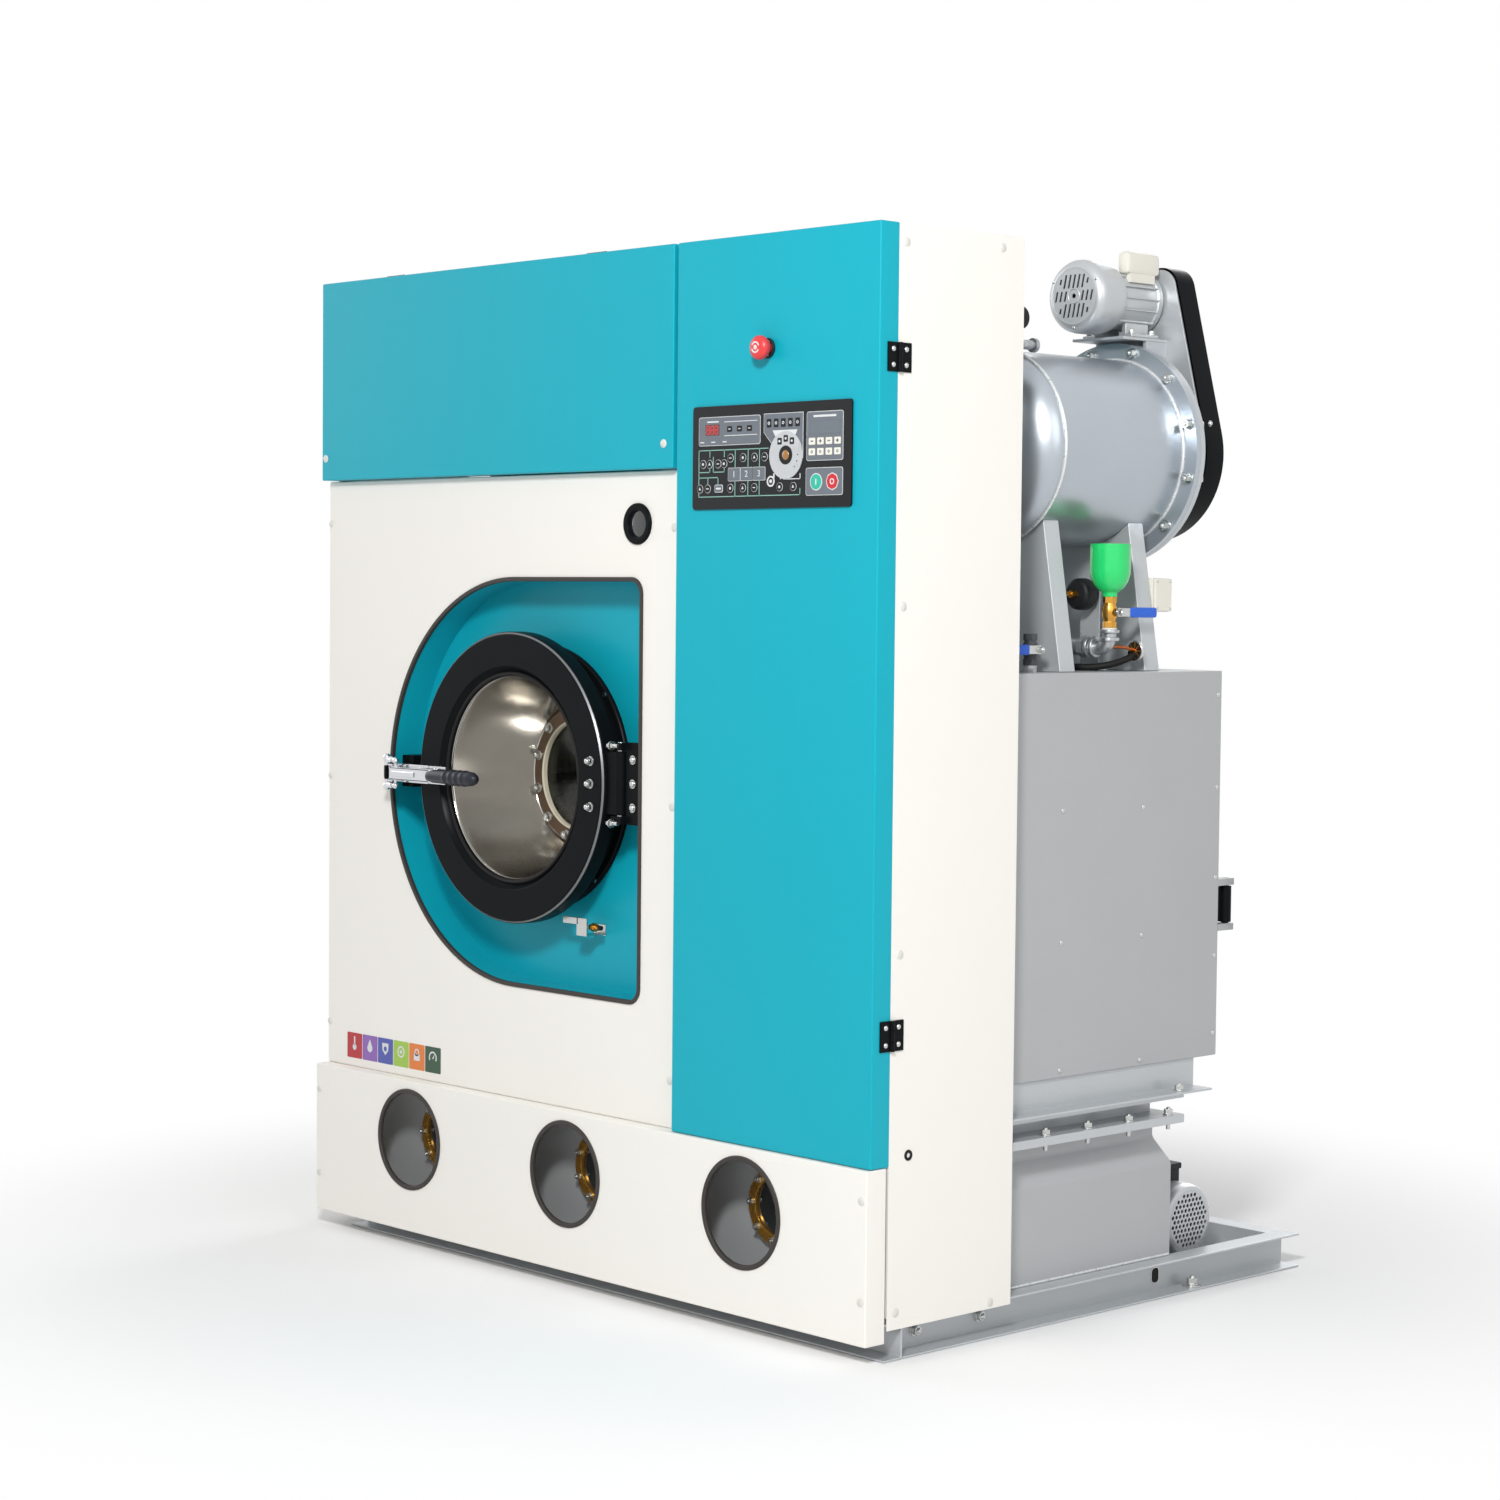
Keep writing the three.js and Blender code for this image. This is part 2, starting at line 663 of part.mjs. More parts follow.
// A flat belt: the loop at its outer face less the loop at its inner face.
function belt(x, lower, upper, y) {
  const thick = 6;
  const slack = 1.2; // the belt rides just clear of its grooves
  const grown = ([z, radius], by) => [z, radius + by];
  const outer = slab("y", loopOutline(x, grown(lower, thick), grown(upper, thick)), y, y + 8);
  const inner = slab("y", loopOutline(x, grown(lower, slack), grown(upper, slack)), y - 1, y + 9);
  return cut(outer, inner);
}

function drumDrive() {
  const centre = [MOUTH.x, MOUTH.z];
  const low = [MOUTH.x, DRIVE.z];
  const { radius, front, rear, pulley, wheel, y, shaft } = DRIVE;
  const wheelShape = turned("y", pulleyProfile(DRUM.shaft + 0.9, wheel, y), centre, ROUND);
  place("drum_pulley", wheelShape, CAST_IRON);

  const foot = (side) => {
    const x = MOUTH.x + side * 55;
    return block([x - 22, x + 22], [front + 60, rear - 60], [TANK.top + GAP, TANK.top + 42]);
  };
  const motor = join(rod("y", radius, front, rear, low, ROUND), foot(-1), foot(1));
  place("drum_motor", cut(motor, rod("y", shaft + 0.6, rear - 30, rear + 10, low, SMALL)), SILVER_PAINT);
  const drivePulley = turned("y", shaftPulleyProfile(shaft, pulley, y, rear - 25), low, ROUND);
  place("drum_motor_pulley", drivePulley, CAST_IRON);
  const loop = belt(MOUTH.x, [DRIVE.z, pulley], [MOUTH.z, wheel], y + 1);
  place("drum_belt", loop, RUBBER);
}

// ---------------------------------------------------------------- tank

// A box whose left, right and rear walls lean in to a shoulder below its top.
function shoulderedBox([x0, x1], [y0, y1], [z0, z1]) {
  const { run, low, high } = SHOULDER;
  const leaning = (end) => [[end, low], [end - run, high], [end - run, z1]];
  const across = polygon([
    [x0, z0],
    [x1, z0],
    ...leaning(x1),
    [x0 + run, z1],
    [x0 + run, high],
    [x0, low],
  ]);
  const lengthwise = polygon([[y0, z0], [y1, z0], ...leaning(y1), [y0, z1]]);
  return slab("y", across, y0, y1).intersect(slab("x", lengthwise, x0, x1));
}

function baseTank() {
  const { left, right, front, rear, top, wall } = TANK;
  const bottom = RAIL.height + GAP;
  const outer = shoulderedBox([left, right], [front, rear], [bottom, top]);
  const inner = shoulderedBox(
    [left + wall, right - wall],
    [front + wall, rear - wall],
    [bottom + wall, top - wall],
  );
  const partitions = TANK_WALLS.map((x) =>
    block([x - wall / 2, x + wall / 2], [front, rear], [bottom, top]),
  );
  const ports = PORTHOLE.x.map((x) => rod("y", 55, front - 10, front + 10, [x, PORTHOLE.z]));
  place("base_tank", cut(outer, cut(inner, ...partitions), ...ports), GREY_PAINT);

  ["left", "middle", "right"].forEach((side, i) => {
    const profile = [
      [0, front - 6],
      [50, front - 6],
      [50, front - 14],
      [66, front - 14],
      [70, front - 10],
      [70, front - GAP],
      [0, front - GAP],
    ];
    const ring = turned("y", profile, [PORTHOLE.x[i], PORTHOLE.z], ROUND);
    place("tank_sight_glass_" + side, ring, BRONZE);
  });
}

// ---------------------------------------------------------------- still

function still() {
  const { left, right, front, rear, bottom, top, wall } = STILL;
  const { x, z, mouth, hingeX, hingeY } = STILL_DOOR;
  const shell = cut(
    block([left, right], [front, rear], [bottom, top]),
    block([left + wall, right - wall], [front + wall, rear - wall], [bottom + wall, top - wall]),
  );
  const lug = (low) => block([hingeX - 11, hingeX + 11], [rear - 2, hingeY + 11], [low, low + 12]);
  const nozzle = [SIDE_VALVE.x, SIDE_VALVE.y];
  const stub = rod("z", 12, top - 1, SIDE_VALVE.z - VALVE_HALF - GAP, nozzle, SMALL);
  const body = join(shell, lug(z - 47), lug(z + 35), stub);
  const opening = rod("y", mouth, rear - 20, rear + 10, [x, z], SMOOTH);
  const hingeBore = rod("z", 6.6, z - 60, z + 60, [hingeX, hingeY]);
  place("still_body", cut(body, opening, hingeBore), GREY_PAINT);
  stillDoor();
}

// The round clean-out door at the back, dished inwards and hung on a vertical pin.
function stillDoor() {
  const { x, z, radius, mouth, hingeX, hingeY } = STILL_DOOR;
  const seat = STILL.rear + GAP;
  const profile = [
    [0, seat + 22],
    [mouth - 30, seat + 12],
    [mouth - 12, seat],
    [radius, seat],
    [radius, seat + 12],
    [mouth - 6, seat + 13],
    [mouth - 24, seat + 26],
    [0, seat + 36],
  ];
  const lid = turned("y", profile, [x, z]);
  const arm = block([x + radius - 6, hingeX], [seat + 2, hingeY + 9], [z - 32, z + 32]);
  const barrel = rod("z", 11, z - 33, z + 33, [hingeX, hingeY]);
  const pin = rod("z", 6, z - 46, z + 46, [hingeX, hingeY]);
  place("still_door", join(lid, arm, barrel, pin), BLACK_PAINT);
}

function stillStand() {
  const { flange, web, rim, rimTop } = STAND;
  const thick = 4;
  const left = STILL.left + 6;
  const top = STILL.bottom - GAP;
  // A leg's section: an upright web with a flange turned out from its foot.
  const leg = (foot, inside, tip) =>
    polygon([
      [inside, top],
      [foot, top],
      [foot, flange],
      [tip, flange],
      [tip, flange - thick],
      [inside, flange - thick],
    ]);
  const legs = [leg(web, web - thick, 752), leg(left, left + thick, left - 43)];
  const cross = (y) => block([left + 2, web - 2], [y, y + thick], [flange - 3, top - 1]);
  const ring = join(
    block([left - 41, 745], [STILL.front + 2, 807], [flange - 11, flange - 2.5]),
    block([left - 26, 690], [STILL.front + 12, 780], [rimTop - 10, flange - 8]),
    block([left - 40, 748], [STILL.front + 4, 805], [rim, rimTop]),
  );
  const hollow = block([left - 22, 686], [STILL.front + 16, 776], [rim - 10, flange - 1.5]);
  const frame = join(...legs.map((outline) => slab("y", outline, STILL.front, 878)), cross(347), cross(836));
  place("still_stand", join(frame, cut(ring, hollow)), SILVER_PAINT);
}

// ---------------------------------------------------------------- filter

function filterShell() {
  const { x, z, radius, flange, dome, front, rear, wall } = FILTER;
  const head = (r, deep, steps) =>
    Array.from({ length: steps }, (_, i) => {
      const turn = (i / steps) * (Math.PI / 2);
      return [r * Math.sin(turn), front - deep * Math.cos(turn)];
    });
  const profile = [
    ...head(radius, dome, 5),
    [radius, front],
    [radius, rear - 12],
    [flange, rear - 12],
    [flange, rear],
    [radius - wall, rear],
    [radius - wall, front],
    ...head(radius - wall, dome - wall - 3, 4).reverse(),
  ];
  place("filter_shell", turned("y", profile, [x, z]), SILVER_PAINT);

  const cover = turned(
    "y",
    [
      [14, rear + GAP],
      [flange, rear + GAP],
      [flange, rear + 12],
      [60, rear + 14],
      [40, rear + 20],
      [40, rear + 48],
      [14, rear + 48],
      [14, rear + GAP],
    ],
    [x, z],
  );
  place("filter_end_cover", cover, SILVER_PAINT);
}

function filterSaddle(name, y) {
  const { bottom, top, topZ, fold, thick } = SADDLES;
  const foot = STILL.top + GAP;
  const { x, z, radius } = FILTER;
  const plate = polygon([[x - bottom, foot], [x + bottom, foot], [x + top, topZ], [x - top, topZ]]);
  const core = polygon([
    [x - bottom + thick, foot + thick],
    [x + bottom - thick, foot + thick],
    [x + top - thick, topZ + 1],
    [x - top + thick, topZ + 1],
  ]);
  const folded = cut(slab("y", plate, y, y + fold), slab("y", core, y + thick, y + fold + 1));
  const bed = rod("y", radius + GAP, y - 5, y + fold + 5, [x, z], SMOOTH);
  place(name, cut(folded, bed), SILVER_PAINT);
}

function filterDrive() {
  const { x } = FILTER;
  const { z, cover, radius, front, fan, rear, shelf } = FILTER_MOTOR;
  const { wheel, pulley, y, shaft } = FILTER_DRIVE;
  const barrel = [
    [0, front],
    [cover - 16, front],
    [cover, front + 16],
    [cover, fan - 14],
    [cover - 3, fan],
    [radius, fan],
    [radius, rear - 14],
    [radius + 2, rear - 14],
    [radius + 2, rear],
    [0, rear],
  ];
  const motor = join(
    turned("y", barrel, [x, z], ROUND),
    block([x + 27, x + 55], [fan + 11, rear - 7], [z + 27, z + 84]),
    block([x - 56, x - 26], [fan + 20, rear - 16], [shelf + GAP, z - 20]),
    block([x + 26, x + 56], [fan + 20, rear - 16], [shelf + GAP, z - 20]),
  );
  const bore = rod("y", shaft + 0.6, rear - 30, rear + 10, [x, z], SMALL);
  place("filter_motor", cut(motor, bore), SILVER_PAINT);
  const drivePulley = turned("y", shaftPulleyProfile(shaft, pulley, y, rear - 25), [x, z], ROUND);
  place("filter_motor_pulley", drivePulley, CAST_IRON);

  const discs = [590, 640, 690, 740, 790].flatMap((at) => [
    [shaft, at - 3],
    [138, at - 3],
    [138, at + 3],
    [shaft, at + 3],
  ]);
  const rodAndDiscs = [[0, 570], [shaft, 570], ...discs, [shaft, y + 24], [0, y + 24]];
  const spindle = turned("y", rodAndDiscs, [x, FILTER.z], ROUND);
  const wheelShape = turned("y", pulleyProfile(11, wheel, y), [x, FILTER.z], ROUND);
  place("filter_spindle", join(spindle, wheelShape), STAINLESS);
  place("filter_belt", belt(x, [FILTER.z, wheel], [z, pulley], y + 1), RUBBER);
  mountingPlate();
  beltGuard();
}

// The plate behind the motor, with the welded shelf that carries the motor's feet.
function mountingPlate() {
  const { x, z, flange, rear } = FILTER;
  const top = FILTER_MOTOR.shelf;
  const back = GUARD.front - GAP;
  const plate = slab("y", guardOutline(4), back - 4, back);
  const shelf = block([x - 60, x + 60], [784, back - 2], [top - 5, top]);
  const legs = [-1, 1].map((side) => {
    const at = x + side * 55;
    return block([at - 4, at + 4], [rear + 14, back - 1], [z + 150, top - 2]);
  });
  const hub = rod("y", 42, rear, back + 20, [x, z]);
  const shaftHole = rod("y", FILTER_DRIVE.shaft + 8, rear, back + 20, [x, FILTER_MOTOR.z], SMALL);
  const clear = rod("y", flange + 2, FILTER.front, rear + 13, [x, z], SMOOTH);
  place("motor_mounting_plate", cut(join(plate, shelf, ...legs), hub, shaftHole, clear), SILVER_PAINT);
}

// The guard's outline, shrunk by an amount.
function guardOutline(shrink) {
  const { low, corner, cornerZ, spread } = GUARD;
  return loopOutline(FILTER.x, [FILTER.z, low - shrink], [cornerZ, corner - shrink], spread);
}

function beltGuard() {
  const { front, rear, wall } = GUARD;
  const outer = slab("y", guardOutline(0), front, rear);
  place("belt_guard", cut(outer, slab("y", guardOutline(wall), front - 1, rear - wall)), BLACK_PAINT);
}

// ---------------------------------------------------------------- fittings

function fillFunnel() {
  const { x, y, top, neck, radius } = FUNNEL;
  const wall = 2.5;
  const knee = 46; // height of the round part above the neck
  const steps = 4;
  const bowl = (r) =>
    Array.from({ length: steps }, (_, i) => {
      const turn = ((i + 1.4) / (steps + 1.4)) * (Math.PI / 2);
      return [r * Math.sin(turn), neck + knee - (knee - 4) * Math.cos(turn)];
    });
  const profile = [
    [9, neck],
    [13, neck],
    [13, neck + 6],
    ...bowl(radius),
    [radius, neck + knee],
    [radius, top],
    [radius - wall, top],
    [radius - wall, neck + knee],
    ...bowl(radius - wall)
      .map(([r, height]) => [r, height + wall])
      .reverse(),
    [9, neck + 8],
    [9, neck],
  ];
  place("fill_funnel", turned("z", profile, [x, y], ROUND), GREEN_PLASTIC);
}

// A ball valve's body on a vertical pipe, and its lever on a stem towards +x. The lever lies
// towards the back (way 1) or the front (way -1).
function ballValve(name, { x, y, z }, way, look) {
  const end = VALVE_HALF;
  const half = [
    [0, end],
    [12.5, end],
    [12.5, end - 10],
    [10.5, end - 12],
    [13.5, 8],
  ];
  const lower = half.map(([radius, at]) => [radius, z - at]);
  const upper = half.map(([radius, at]) => [radius, z + at]).reverse();
  const body = turned("z", [...lower, ...upper], [x, y], SMALL);
  place(name + "_valve", join(body, rod("x", 7, x + 10, x + 19, [y, z], SMALL)), look);
  const leverX = x + 19 + GAP;
  const span = (a, b) => [y + Math.min(way * a, way * b), y + Math.max(way * a, way * b)];
  const lever = join(
    rod("x", 8.2, leverX, leverX + 7, [y, z], SMALL),
    block([leverX + 2, leverX + 5], span(-4, 34), [z - 7.8, z + 7.8]),
    block([leverX + 0.2, leverX + 8], span(30, 98), [z - 9, z + 9]),
  );
  place(name + "_valve_lever", lever, BLUE_GRIP);
}

function fittings() {
  const { x, y, neck } = FUNNEL;
  const valveZ = neck - GAP - VALVE_HALF;
  fillFunnel();
  ballValve("funnel", { x, y, z: valveZ }, 1, BRASS);
  ballValve("still", SIDE_VALVE, -1, CAST_IRON);
  funnelPipe(valveZ - VALVE_HALF - GAP);
  pressureSwitch();
  const boxY = SADDLES.rear + SADDLES.fold + GAP;
  place("junction_box", block([641, 681], [boxY, boxY + 47], [1216, 1276]), WHITE_PLASTIC);
}

// The pipe from the funnel's valve: down, across to the left, and down to the still.
function funnelPipe(top) {
  const { x, y } = FUNNEL;
  const run = top - 34;
  const endX = 560;
  const pipe = join(
    rod("z", 11, run - 9, top, [x, y], SMALL),
    rod("z", 15, top - 18, top - 10, [x, y], SMALL),
    rod("x", 11.2, endX, x + 4, [y, run], SMALL),
    rod("x", 15, x - 34, x - 24, [y, run], SMALL),
    rod("z", 11, STILL.top + GAP, run + 9, [endX, y], SMALL),
  );
  place("funnel_pipe", pipe, GALVANISED);
}

// The pressure switch: a round black housing on an upright bracket.
function pressureSwitch() {
  const { x, y, z, radius } = SWITCH;
  const profile = [
    [0, y - 14],
    [8, y - 14],
    [8, y - 4],
    [radius, y - 2],
    [radius, y + 14],
    [12, y + 16],
    [12, y + 25],
    [0, y + 25],
  ];
  const bracket = join(
    block([x - 22, x + 22], [y + 24, y + 27], [STILL.top + 1, z + 20]),
    block([x - 21, x + 21], [y + 25.5, y + 50], [STILL.top + GAP, STILL.top + 3]),
  );
  place("pressure_switch", join(turned("y", profile, [x, z], ROUND), bracket), BLACK_PLASTIC);
}

// ---------------------------------------------------------------- pump, duct and switchgear

function pump() {
  const { x, y, z, radius, motor, casing } = PUMP;
  const centre = [y, z];
  const fanRoom = [x - 34, x - 3];
  const body = join(
    rod("x", radius, x - 40, x, centre, ROUND),
    rod("x", radius - 6, motor, x - 38, centre, ROUND),
    rod("x", radius + 8, casing, motor + 2, centre, ROUND),
    block([motor + 20, x - 60], [y - 36, y + 36], [26 + GAP, z - 30]),
    block([x - 95, x - 45], [y - 24, y + 24], [z + 40, z + 98]),
  );
  const holes = Array.from({ length: 6 }, (_, i) => {
    const turn = (i * Math.PI) / 3;
    const at = [y + 34 * Math.cos(turn), z + 34 * Math.sin(turn)];
    return rod("x", 11, x - 10, x + 5, at, SMALL);
  });
  const hollow = [
    rod("x", radius - 4, fanRoom[0], fanRoom[1], centre, ROUND),
    rod("x", 12, casing + 30, x - 20, centre, SMALL),
    rod("x", radius - 4, casing + 10, casing + 40, centre, ROUND),
    rod("x", 18, casing - 5, casing + 20, centre, SMALL),
  ];
  place("pump", cut(body, ...hollow, ...holes), SILVER_PAINT);
  const rotor = turned(
    "x",
    [
      [0, casing + 14],
      [56, casing + 14],
      [56, casing + 32],
      [10, casing + 34],
      [10, fanRoom[0] + 4],
      [54, fanRoom[0] + 4],
      [54, fanRoom[0] + 20],
      [0, fanRoom[0] + 20],
    ],
    centre,
    ROUND,
  );
  place("pump_rotor", rotor, BLACK_PLASTIC);
}

function airDuct() {
  const xs = [-420, 70];
  const ys = [150, 440];
  const zs = [1370, 1600];
  const outer = join(
    block(xs, ys, zs),
    block([MOUTH.x - 110, MOUTH.x + 110], [200, 400], [MOUTH.z + TUB.radius - 30, zs[0] + 1]),
  );
  const inner = join(
    block([xs[0] + 3, xs[1] - 3], [ys[0] - 1, ys[1] - 3], [zs[0] + 3, zs[1] - 3]),
    block([MOUTH.x - 107, MOUTH.x + 107], [203, 397], [MOUTH.z, zs[0] + 5]),
  );
  const bed = rod("y", TUB.radius + GAP, 100, 500, [MOUTH.x, MOUTH.z], SMOOTH);
  place("air_duct", cut(outer, inner, bed), GREY_PAINT);
}

function switchgear() {
  const x0 = 296;
  const x1 = RIGHT - SHEET - GAP;
  const y = 240;
  const zs = [430, 1720];
  let board = cut(
    block([x0, x1], [y, y + 40], zs),
    block([x0 - 1, x1 - SHEET], [y + SHEET, y + 50], [zs[0] - 1, zs[1] + 1]),
  );
  const rows = [560, 820, 1080, 1340, 1600];
  rows.forEach((z, row) => {
    const count = 6 - (row % 2);
    for (let i = 0; i < count; i += 1) {
      const at = x0 + 36 + i * 64;
      board = join(board, block([at, at + 48], [y - 62, y + 1], [z - 40, z + 40]));
    }
  });
  place("electrical_board", board, GALVANISED);
}

// ---------------------------------------------------------------- the machine

baseFrame();
cabinet();
flipCover();
controlDoor();
doorFrameRing();
doorRing();
doorDish();
doorHinge();
doorClamp();
drumTub();
drumCage();
drumDrive();
baseTank();
still();
stillStand();
filterShell();
filterSaddle("filter_saddle_front", SADDLES.front);
filterSaddle("filter_saddle_rear", SADDLES.rear);
filterDrive();
fittings();
pump();
airDuct();
switchgear();

group.position.set(-(REACH.left + REACH.right) / 2, -(REACH.front + REACH.rear) / 2, 0);

export default group;
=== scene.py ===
"""The looks of a dry cleaning machine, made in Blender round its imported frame.

Lengths are millimetres in the machine's own axes: x runs across the front from its middle, y runs
back from the face of the control door, and z rises from the floor. A finished mesh is moved into
the frame's metres as its last step.
"""

from __future__ import annotations

import logging
import math
from dataclasses import dataclass
from enum import Enum
from typing import Callable, Iterable, Sequence

import bmesh
import bpy
from mathutils import Matrix, Vector


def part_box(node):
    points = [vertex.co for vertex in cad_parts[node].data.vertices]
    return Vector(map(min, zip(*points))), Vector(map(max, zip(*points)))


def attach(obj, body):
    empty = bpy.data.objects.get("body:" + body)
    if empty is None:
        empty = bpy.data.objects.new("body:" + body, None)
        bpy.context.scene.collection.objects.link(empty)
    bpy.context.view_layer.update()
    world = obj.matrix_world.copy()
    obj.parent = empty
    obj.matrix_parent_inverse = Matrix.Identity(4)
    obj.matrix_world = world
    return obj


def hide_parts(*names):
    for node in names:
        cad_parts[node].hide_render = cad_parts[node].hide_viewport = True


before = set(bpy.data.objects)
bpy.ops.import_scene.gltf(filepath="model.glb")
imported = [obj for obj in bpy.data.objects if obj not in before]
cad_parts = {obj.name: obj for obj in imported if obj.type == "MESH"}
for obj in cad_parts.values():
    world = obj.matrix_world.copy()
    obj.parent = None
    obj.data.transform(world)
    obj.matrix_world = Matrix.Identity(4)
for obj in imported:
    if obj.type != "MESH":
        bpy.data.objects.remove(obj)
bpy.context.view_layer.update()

LOG = logging.getLogger("machine")
MM = 0.001
FACE_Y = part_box("control_door")[0].y
ROOM = Matrix.Translation((0.0, FACE_Y, 0.0)) @ Matrix.Scale(MM, 4)
TURN = math.tau
CREASE = math.radians(32)  # an edge sharper than this is rounded
SHARP = math.radians(40)  # an edge sharper than this is shaded as one
SAME_PLACE = 0.002  # points nearer than this are one point

Spot = tuple[float, float]  # a point on a plane
Span = tuple[float, float]  # where something starts and ends
Place = tuple[float, float, float]
Outline = Sequence[Spot]
Holes = Iterable[Outline]
Tree = bpy.types.NodeTree
Node = bpy.types.Node
Socket = bpy.types.NodeSocket

DOOR_AXIS: Spot = (-175.0, 904.0)
PORTS = (-455.0, 3.0, 461.0)  # x of the three portholes and of the sight glasses behind them
PORT_Z = 207.0


# ---------------------------------------------------------------- finishes


def linear(code: str, shade: float = 1.0) -> tuple[float, float, float, float]:
    """Turns an sRGB hex colour to linear light.

    Args:
        code: the colour as "#rrggbb".
        shade: a factor on its brightness.

    Returns:
        Red, green, blue and an alpha of 1.
    """
    channels = [int(code[at : at + 2], 16) / 255 for at in (1, 3, 5)]
    curved = [c / 12.92 if c <= 0.04045 else ((c + 0.055) / 1.055) ** 2.4 for c in channels]
    return (*[min(1.0, c * shade) for c in curved], 1.0)


def linked(name: str, data: bpy.types.ID) -> bpy.types.Object:
    """Puts a new object with some data in the scene."""
    made = bpy.data.objects.new(name, data)
    bpy.context.scene.collection.objects.link(made)
    return made


def emptied(owner: bpy.types.Material | bpy.types.World) -> Tree:
    """Returns a material's or a world's node tree, with nothing in it."""
    owner.use_nodes = True
    owner.node_tree.nodes.clear()
    return owner.node_tree


def add(tree: Tree, kind: str, sockets: dict | None = None, **settings) -> Node:
    """Adds one node with its settings and links.

    Args:
        tree: the material's or world's node tree.
        kind: the node's type.
        sockets: a value or another node's output for each input named.
        **settings: the node's own properties.

    Returns:
        The node.
    """
    node = tree.nodes.new(kind)
    for key, value in settings.items():
        setattr(node, key, value)
    for key, value in (sockets or {}).items():
        if isinstance(value, Socket):
            tree.links.new(value, node.inputs[key])
        else:
            node.inputs[key].default_value = value
    return node


def noise(tree: Tree, where: Socket, size: float, detail: float) -> Socket:
    """Adds a random pattern with spots of a size in mm, and returns its value from 0 to 1."""
    made = add(tree, "ShaderNodeTexNoise", {"Vector": where, "Scale": 1 / (size * MM), "Detail": detail})
    return made.outputs["Fac"]


def remap(tree: Tree, value: Socket, low: float, high: float) -> Socket:
    """Stretches a value from 0 to 1 so that it runs between two others."""
    made = add(tree, "ShaderNodeMapRange", {"Value": value, "To Min": low, "To Max": high})
    return made.outputs["Result"]


def combine(tree: Tree, operation: str, first: Socket, second: Socket) -> Socket:
    """Works out one value from two others."""
    return add(tree, "ShaderNodeMath", {0: first, 1: second}, operation=operation).outputs[0]


@dataclass(frozen=True)
class Finish:
    """What a surface is made of and how it was made. Each kind below adds its own pattern.

    `cloud` and `uneven` are the size in mm and the strength of the slow change in its tone,
    `grain` and `relief` the size and the depth in mm of its fine relief, and `shine` the strength of
    its reflection, which is 0.5 for plain glossy plastic.
    """

    name: str
    slot: str
    colour: str
    roughness: float = 0.4
    metallic: float = 0.0
    cloud: float = 260.0
    uneven: float = 0.04
    grain: float = 4.0
    relief: float = 0.02
    coat: float = 0.0
    shine: float = 0.5

    def material(self) -> bpy.types.Material:
        """Returns this finish's material, made once."""
        known = bpy.data.materials.get(self.name)
        if known:
            return known
        made = bpy.data.materials.new(self.name)
        tree = emptied(made)
        shader = add(
            tree,
            "ShaderNodeBsdfPrincipled",
            {
                "Base Color": linear(self.colour),
                "Roughness": self.roughness,
                "Metallic": self.metallic,
                "Specular IOR Level": self.shine,
                "Coat Weight": self.coat,
                "Coat Roughness": 0.06,
            },
        )
        add(tree, "ShaderNodeOutputMaterial", {"Surface": shader.outputs["BSDF"]})
        where = add(tree, "ShaderNodeTexCoord").outputs["Object"]
        self.dress(tree, shader, where)
        return made

    def dress(self, tree: Tree, shader: Node, where: Socket) -> None:
        """Adds the slow change of tone and gloss, and the fine relief.

        Args:
            tree: the material's nodes.
            shader: its Principled shader.
            where: the Object coordinates, in metres.
        """
        self.vary(tree, shader, noise(tree, where, self.cloud, 4.0), self.uneven, 3 * self.uneven)
        self.emboss(tree, shader, self.height(tree, where))

    def vary(self, tree: Tree, shader: Node, factor: Socket, tone: float, gloss: float) -> None:
        """Changes the colour and the roughness with a factor.

        Args:
            tree: the material's nodes.
            shader: its Principled shader.
            factor: the pattern, from 0 to 1.
            tone: the share of its brightness that the colour changes by, each way.
            gloss: the share that the roughness changes by, each way.
        """
        ends = {"Color1": linear(self.colour, 1 - tone), "Color2": linear(self.colour, 1 + tone)}
        mixed = add(tree, "ShaderNodeMixRGB", {"Fac": factor, **ends})
        tree.links.new(mixed.outputs["Color"], shader.inputs["Base Color"])
        rough = remap(tree, factor, self.roughness * (1 - gloss), self.roughness * (1 + gloss))
        tree.links.new(rough, shader.inputs["Roughness"])

    def height(self, tree: Tree, where: Socket) -> Socket:
        """Returns the fine relief as a height from 0 to 1: here an even, random grain."""
        return noise(tree, where, self.grain, 2.0)

    def emboss(self, tree: Tree, shader: Node, height: Socket) -> None:
        """Raises the surface by a height from 0 to 1, times this finish's relief."""
        bump = add(tree, "ShaderNodeBump", {"Height": height, "Distance": self.relief * MM, "Strength": 1.0})
        tree.links.new(bump.outputs["Normal"], shader.inputs["Normal"])


@dataclass(frozen=True)
class LatheTurned(Finish):
    """Metal spun or turned about an axis along y: fine rings round it, drawn 1.6 mm apart to show."""

    centre: Spot = DOOR_AXIS
    pitch: float = 1.6

    def height(self, tree: Tree, where: Socket) -> Socket:
        """Returns the rings, from the distance to the axis."""
        offset = (-self.centre[0] * MM, 0.0, -self.centre[1] * MM)
        flat = add(tree, "ShaderNodeMapping", {"Vector": where, "Location": offset, "Scale": (1, 0, 1)})
        radius = add(tree, "ShaderNodeVectorMath", {0: flat.outputs["Vector"]}, operation="LENGTH")
        inputs = {"W": radius.outputs["Value"], "Scale": 1 / (self.pitch * MM), "Detail": 3.0}
        return add(tree, "ShaderNodeTexNoise", inputs, noise_dimensions="1D").outputs["Fac"]


